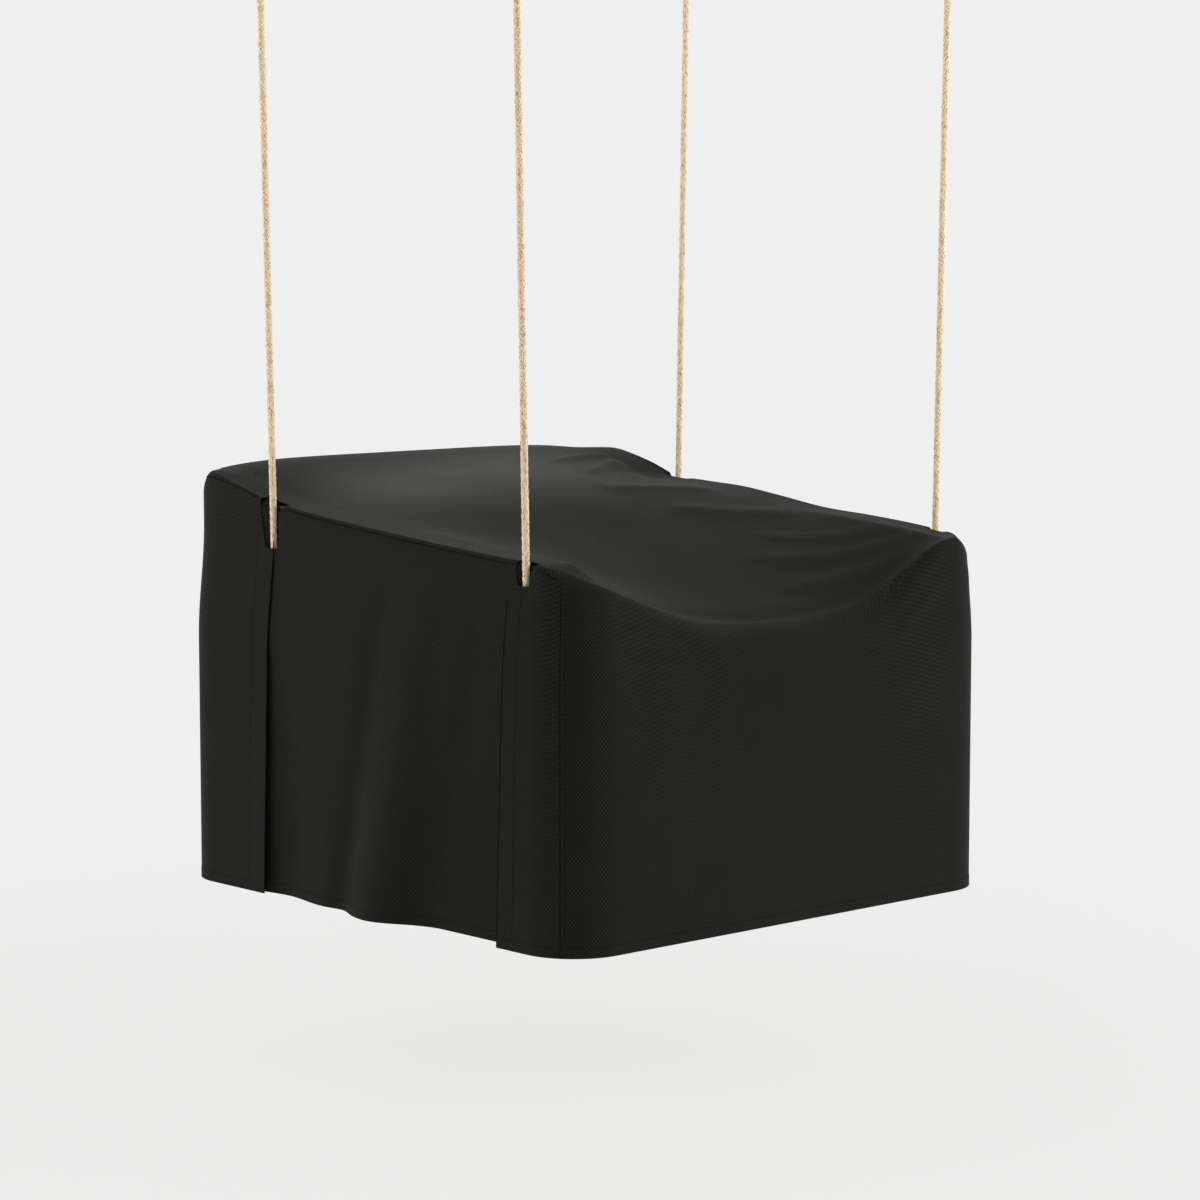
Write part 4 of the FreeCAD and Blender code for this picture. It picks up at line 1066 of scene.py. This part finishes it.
def gusset(corner):
    """Cloth that closes a rope's slot: two lips that dip in to the rope, and a strip behind it."""
    sx, sy = CORNERS[corner]
    middle = sy * ROPE_Y - MIDDLE_Y
    foot = slot_foot(sy) - 0.008
    # Room beside the rope, depth of the lips, radius of their bend, and reach under the slot's edge.
    room, deep, bend, tuck = 0.0076, 0.0125, 0.019, 0.007
    arm_x = sx * 0.49
    out, faces = [], []

    def grid(columns):
        first, height = len(out), len(columns[0])
        for column in columns:
            out.extend(column)
        for i in range(len(columns) - 1):
            for j in range(height - 1):
                k = first + i * height + j
                faces.append((k, k + height, k + height + 1, k + 1))

    def lip(way, u):
        """A column of a lip: u runs from the rope's side to under the edge of the slot."""
        under = 0.0056 if sy > 0 and way < 0 else 0.0021
        dip = (deep - under) * (1 - u) ** 2
        lead = SLOT_LEAD if way < 0 else 0.0

        def y_at(h):
            return middle + way * (room + u * (slot_half(h) + lead + tuck - room))

        crest = float(top_height(arm_x, middle))
        reach = abs(y_at(crest) - middle)
        top = float(top_height(arm_x, y_at(crest))) - under - 0.10 * max(0.0, reach - 0.009)
        column = []
        for h in np.linspace(foot, top - bend, 8):
            x = HALF_X - float(wall_lean(h)) - under - dip
            column.append((sx * x, y_at(h), h))
        for angle in np.radians(np.linspace(15, 90, 6)):
            inner, rise = x - bend * (1 - math.cos(angle)), (bend - 0.5 * dip) * math.sin(angle)
            column.append((sx * inner, y_at(top), top - bend + rise))
        column.append((sx * (inner - 0.010), y_at(top), column[-1][2]))
        return column

    for way in (-1, 1):
        grid([lip(way, u) for u in np.linspace(0, 1, 10)])
    strip = []
    for o in np.linspace(-room, room, 5):
        top = float(top_height(arm_x, middle + o)) - 0.006
        strip.append([(sx * 0.4928, middle + o, h) for h in np.linspace(foot, top, 6)])
    grid(strip)
    obj = mesh_object("cover_gusset_" + corner, to_frame(out), faces, COVER)
    layer = obj.data.uv_layers.new(name="cloth")
    for loop in obj.data.loops:
        co = obj.data.vertices[loop.vertex_index].co
        layer.data[loop.index].uv = (co.y, co.z)
    applied(thicken(obj, GUSSET_CLOTH))
    creased(obj)
    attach(obj, "hanging_rope_" + corner)


for corner in CORNERS:
    gusset(corner)


# Cushions

CUSHION_VOXEL = 0.011
SWELL_FRAMES = 15
SWELL_LIMIT = 0.012


def cushion(name, node):
    """A cushion swelled by its filling: remeshed from its solid, then inflated as cloth."""
    data = nodes[node].data.copy()
    obj = placed(name, data)
    centre = sum((Vector(c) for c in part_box(node)), Vector()) / 2
    for v in data.vertices:
        v.co = centre + (v.co - centre) * 0.985
    remesh = obj.modifiers.new("remesh", "REMESH")
    remesh.mode = "VOXEL"
    remesh.voxel_size = CUSHION_VOXEL
    applied(obj)
    obj.data.materials.clear()
    obj.data.materials.append(CUSHION)
    start = [v.co.copy() for v in obj.data.vertices]
    cloth = obj.modifiers.new("cloth", "CLOTH")
    cloth.settings.use_pressure = True
    cloth.settings.uniform_pressure_force = 3.0
    cloth.settings.effector_weights.gravity = 0
    cloth.settings.quality = 4
    scene = bpy.context.scene
    for number in range(1, SWELL_FRAMES + 1):
        scene.frame_set(number)
    applied(obj)
    scene.frame_set(1)
    low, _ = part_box(node)
    for v, before in zip(obj.data.vertices, start):
        moved = v.co - before
        if moved.length > SWELL_LIMIT:
            v.co = before + moved * (SWELL_LIMIT / moved.length)
        v.co.z = max(v.co.z, low.z + 0.0006)
    obj.data.polygons.foreach_set("use_smooth", [True] * len(obj.data.polygons))
    obj.modifiers.new("smooth", "SUBSURF").levels = 1
    obj.modifiers["smooth"].render_levels = 1
    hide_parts(node)
    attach(obj, "seat")


cushion("seat_cushion_pad", "seat_cushion")
cushion("back_cushion_pad", "back_cushion")


# Finishes of the pieces that come from the solids

def finish(mat, *names):
    """Gives a material to pieces of the part."""
    for name in names:
        nodes[name].data.materials.clear()
        nodes[name].data.materials.append(mat)


finish(STEEL, "beam_hangers", "hanger_pivot_bolts", "hanger_lock_nuts", "slat_screws")
for corner in CORNERS:
    finish(STEEL, "swing_link_" + corner, "thimble_" + corner)
finish(NYLON, "hanger_bushes")
finish(CAP, "rail_end_caps")
finish(COAT, "rope_guides", "base_cross_rails", "back_top_rail", "back_lower_rail")
for side in ("left", "right"):
    finish(COAT, "base_rail_" + side, "front_post_" + side, "rear_post_" + side, "back_upright_" + side)
    finish(TIMBER_Y, "armrest_" + side)
finish(TIMBER_Y, "seat_slats")
finish(TIMBER_Z, "back_slats")


# Stage, light and camera

def seen_directly(owner):
    """1 for rays from the camera, straight or by way of a shiny or clear surface, and 0 for others."""
    paths = add(owner, "ShaderNodeLightPath")
    either = maths(owner, "MAXIMUM", paths.outputs["Is Camera Ray"], paths.outputs["Is Glossy Ray"])
    return maths(owner, "MAXIMUM", either, paths.outputs["Is Transmission Ray"])


def lay_floor():
    """A pale floor, shown nearly as bright as the background, that fades out with the distance."""
    mat = material("floor", (0.80, 0.80, 0.795), 0.9)
    glow = add(mat, "ShaderNodeEmission")
    glow.inputs["Color"].default_value = (0.845, 0.845, 0.838, 1)
    share = maths(mat, "MULTIPLY", seen_directly(mat), 0.9)
    pale = mixed(mat, share, shader_of(mat).outputs["BSDF"], glow.outputs["Emission"])
    distance = add(mat, "ShaderNodeVectorMath", operation="LENGTH")
    link(mat, add(mat, "ShaderNodeTexCoord").outputs["Object"], distance.inputs[0])
    fade = span(mat, distance.outputs["Value"], 0, 1, 1.2, 2.8, interpolation_type="SMOOTHSTEP")
    faded = mixed(mat, fade, pale, add(mat, "ShaderNodeBsdfTransparent").outputs["BSDF"])
    link(mat, faded, mat.node_tree.nodes["Material Output"].inputs["Surface"])
    bpy.ops.mesh.primitive_plane_add(size=8, location=(-0.18, 0.17, -2.26))
    floor = bpy.context.object
    floor.name = "floor"
    floor.data.materials.append(mat)


def studio():
    """A white dome that lights the part, shown to the camera as one pale grey."""
    scene = bpy.context.scene
    world = bpy.data.worlds.new("studio")
    scene.world = world
    world.use_nodes = True
    dome = world.node_tree.nodes["Background"]
    dome.inputs["Color"].default_value = (1, 1, 1, 1)
    split = add(world, "ShaderNodeSeparateXYZ")
    link(world, add(world, "ShaderNodeTexCoord").outputs["Generated"], split.inputs["Vector"])
    link(world, span(world, split.outputs["Z"], 0.72, 0.52, 0.1, 0.8), dome.inputs["Strength"])
    shown = add(world, "ShaderNodeBackground")
    shown.inputs["Color"].default_value = (0.863, 0.863, 0.863, 1)
    both = mixed(world, seen_directly(world), dome.outputs["Background"], shown.outputs["Background"])
    link(world, both, world.node_tree.nodes["World Output"].inputs["Surface"])
    scene.view_settings.view_transform = "Standard"


def lamp(name, place_at, target, width, depth, power, spread=180, twist=0, only=None):
    """An area lamp turned to a target, which lights everything or one object only."""
    data = bpy.data.lights.new(name, "AREA")
    data.spread = math.radians(spread)
    data.shape = "RECTANGLE"
    data.size = width
    data.size_y = depth
    data.energy = power
    obj = placed(name, data)
    obj.location = place_at
    obj.rotation_euler = (Vector(target) - Vector(place_at)).to_track_quat("-Z", "Y").to_euler()
    obj.rotation_euler.z += math.radians(twist)
    obj.visible_glossy = False
    if only:
        lit = bpy.data.collections.new(name + "_lights")
        lit.objects.link(only)
        obj.light_linking.receiver_collection = lit


def camera():
    """The camera that was fitted to the cover's edges and the ropes."""
    data = bpy.data.cameras.new("camera")
    data.sensor_width = 36.0
    data.lens = 104.12
    data.clip_end = 100.0
    obj = placed("camera", data)
    obj.location = (-4.2516, -4.6285, -0.7284)
    obj.rotation_euler = (math.radians(90 - 6.14544), 0, math.radians(-42.41885))
    bpy.context.scene.camera = obj


lay_floor()
studio()
lamp("overhead", (-0.6, 1.2, 2.6), (0, 0, -1.5), 2.6, 2.6, 28)
lamp("left", (-3.3, 2.9, -0.4), (0, 0, -1.6), 2.4, 2.4, 101)
lamp("right", (2.9, -3.5, 0.0), (0, 0, -1.6), 2.4, 2.4, 172)
lamp("back_top", (-0.03, 0.37, 0.5), (-0.03, 0.371, -1.5), 0.7, 0.16, 1.75, 12, 10, PANELS["top"])
camera()
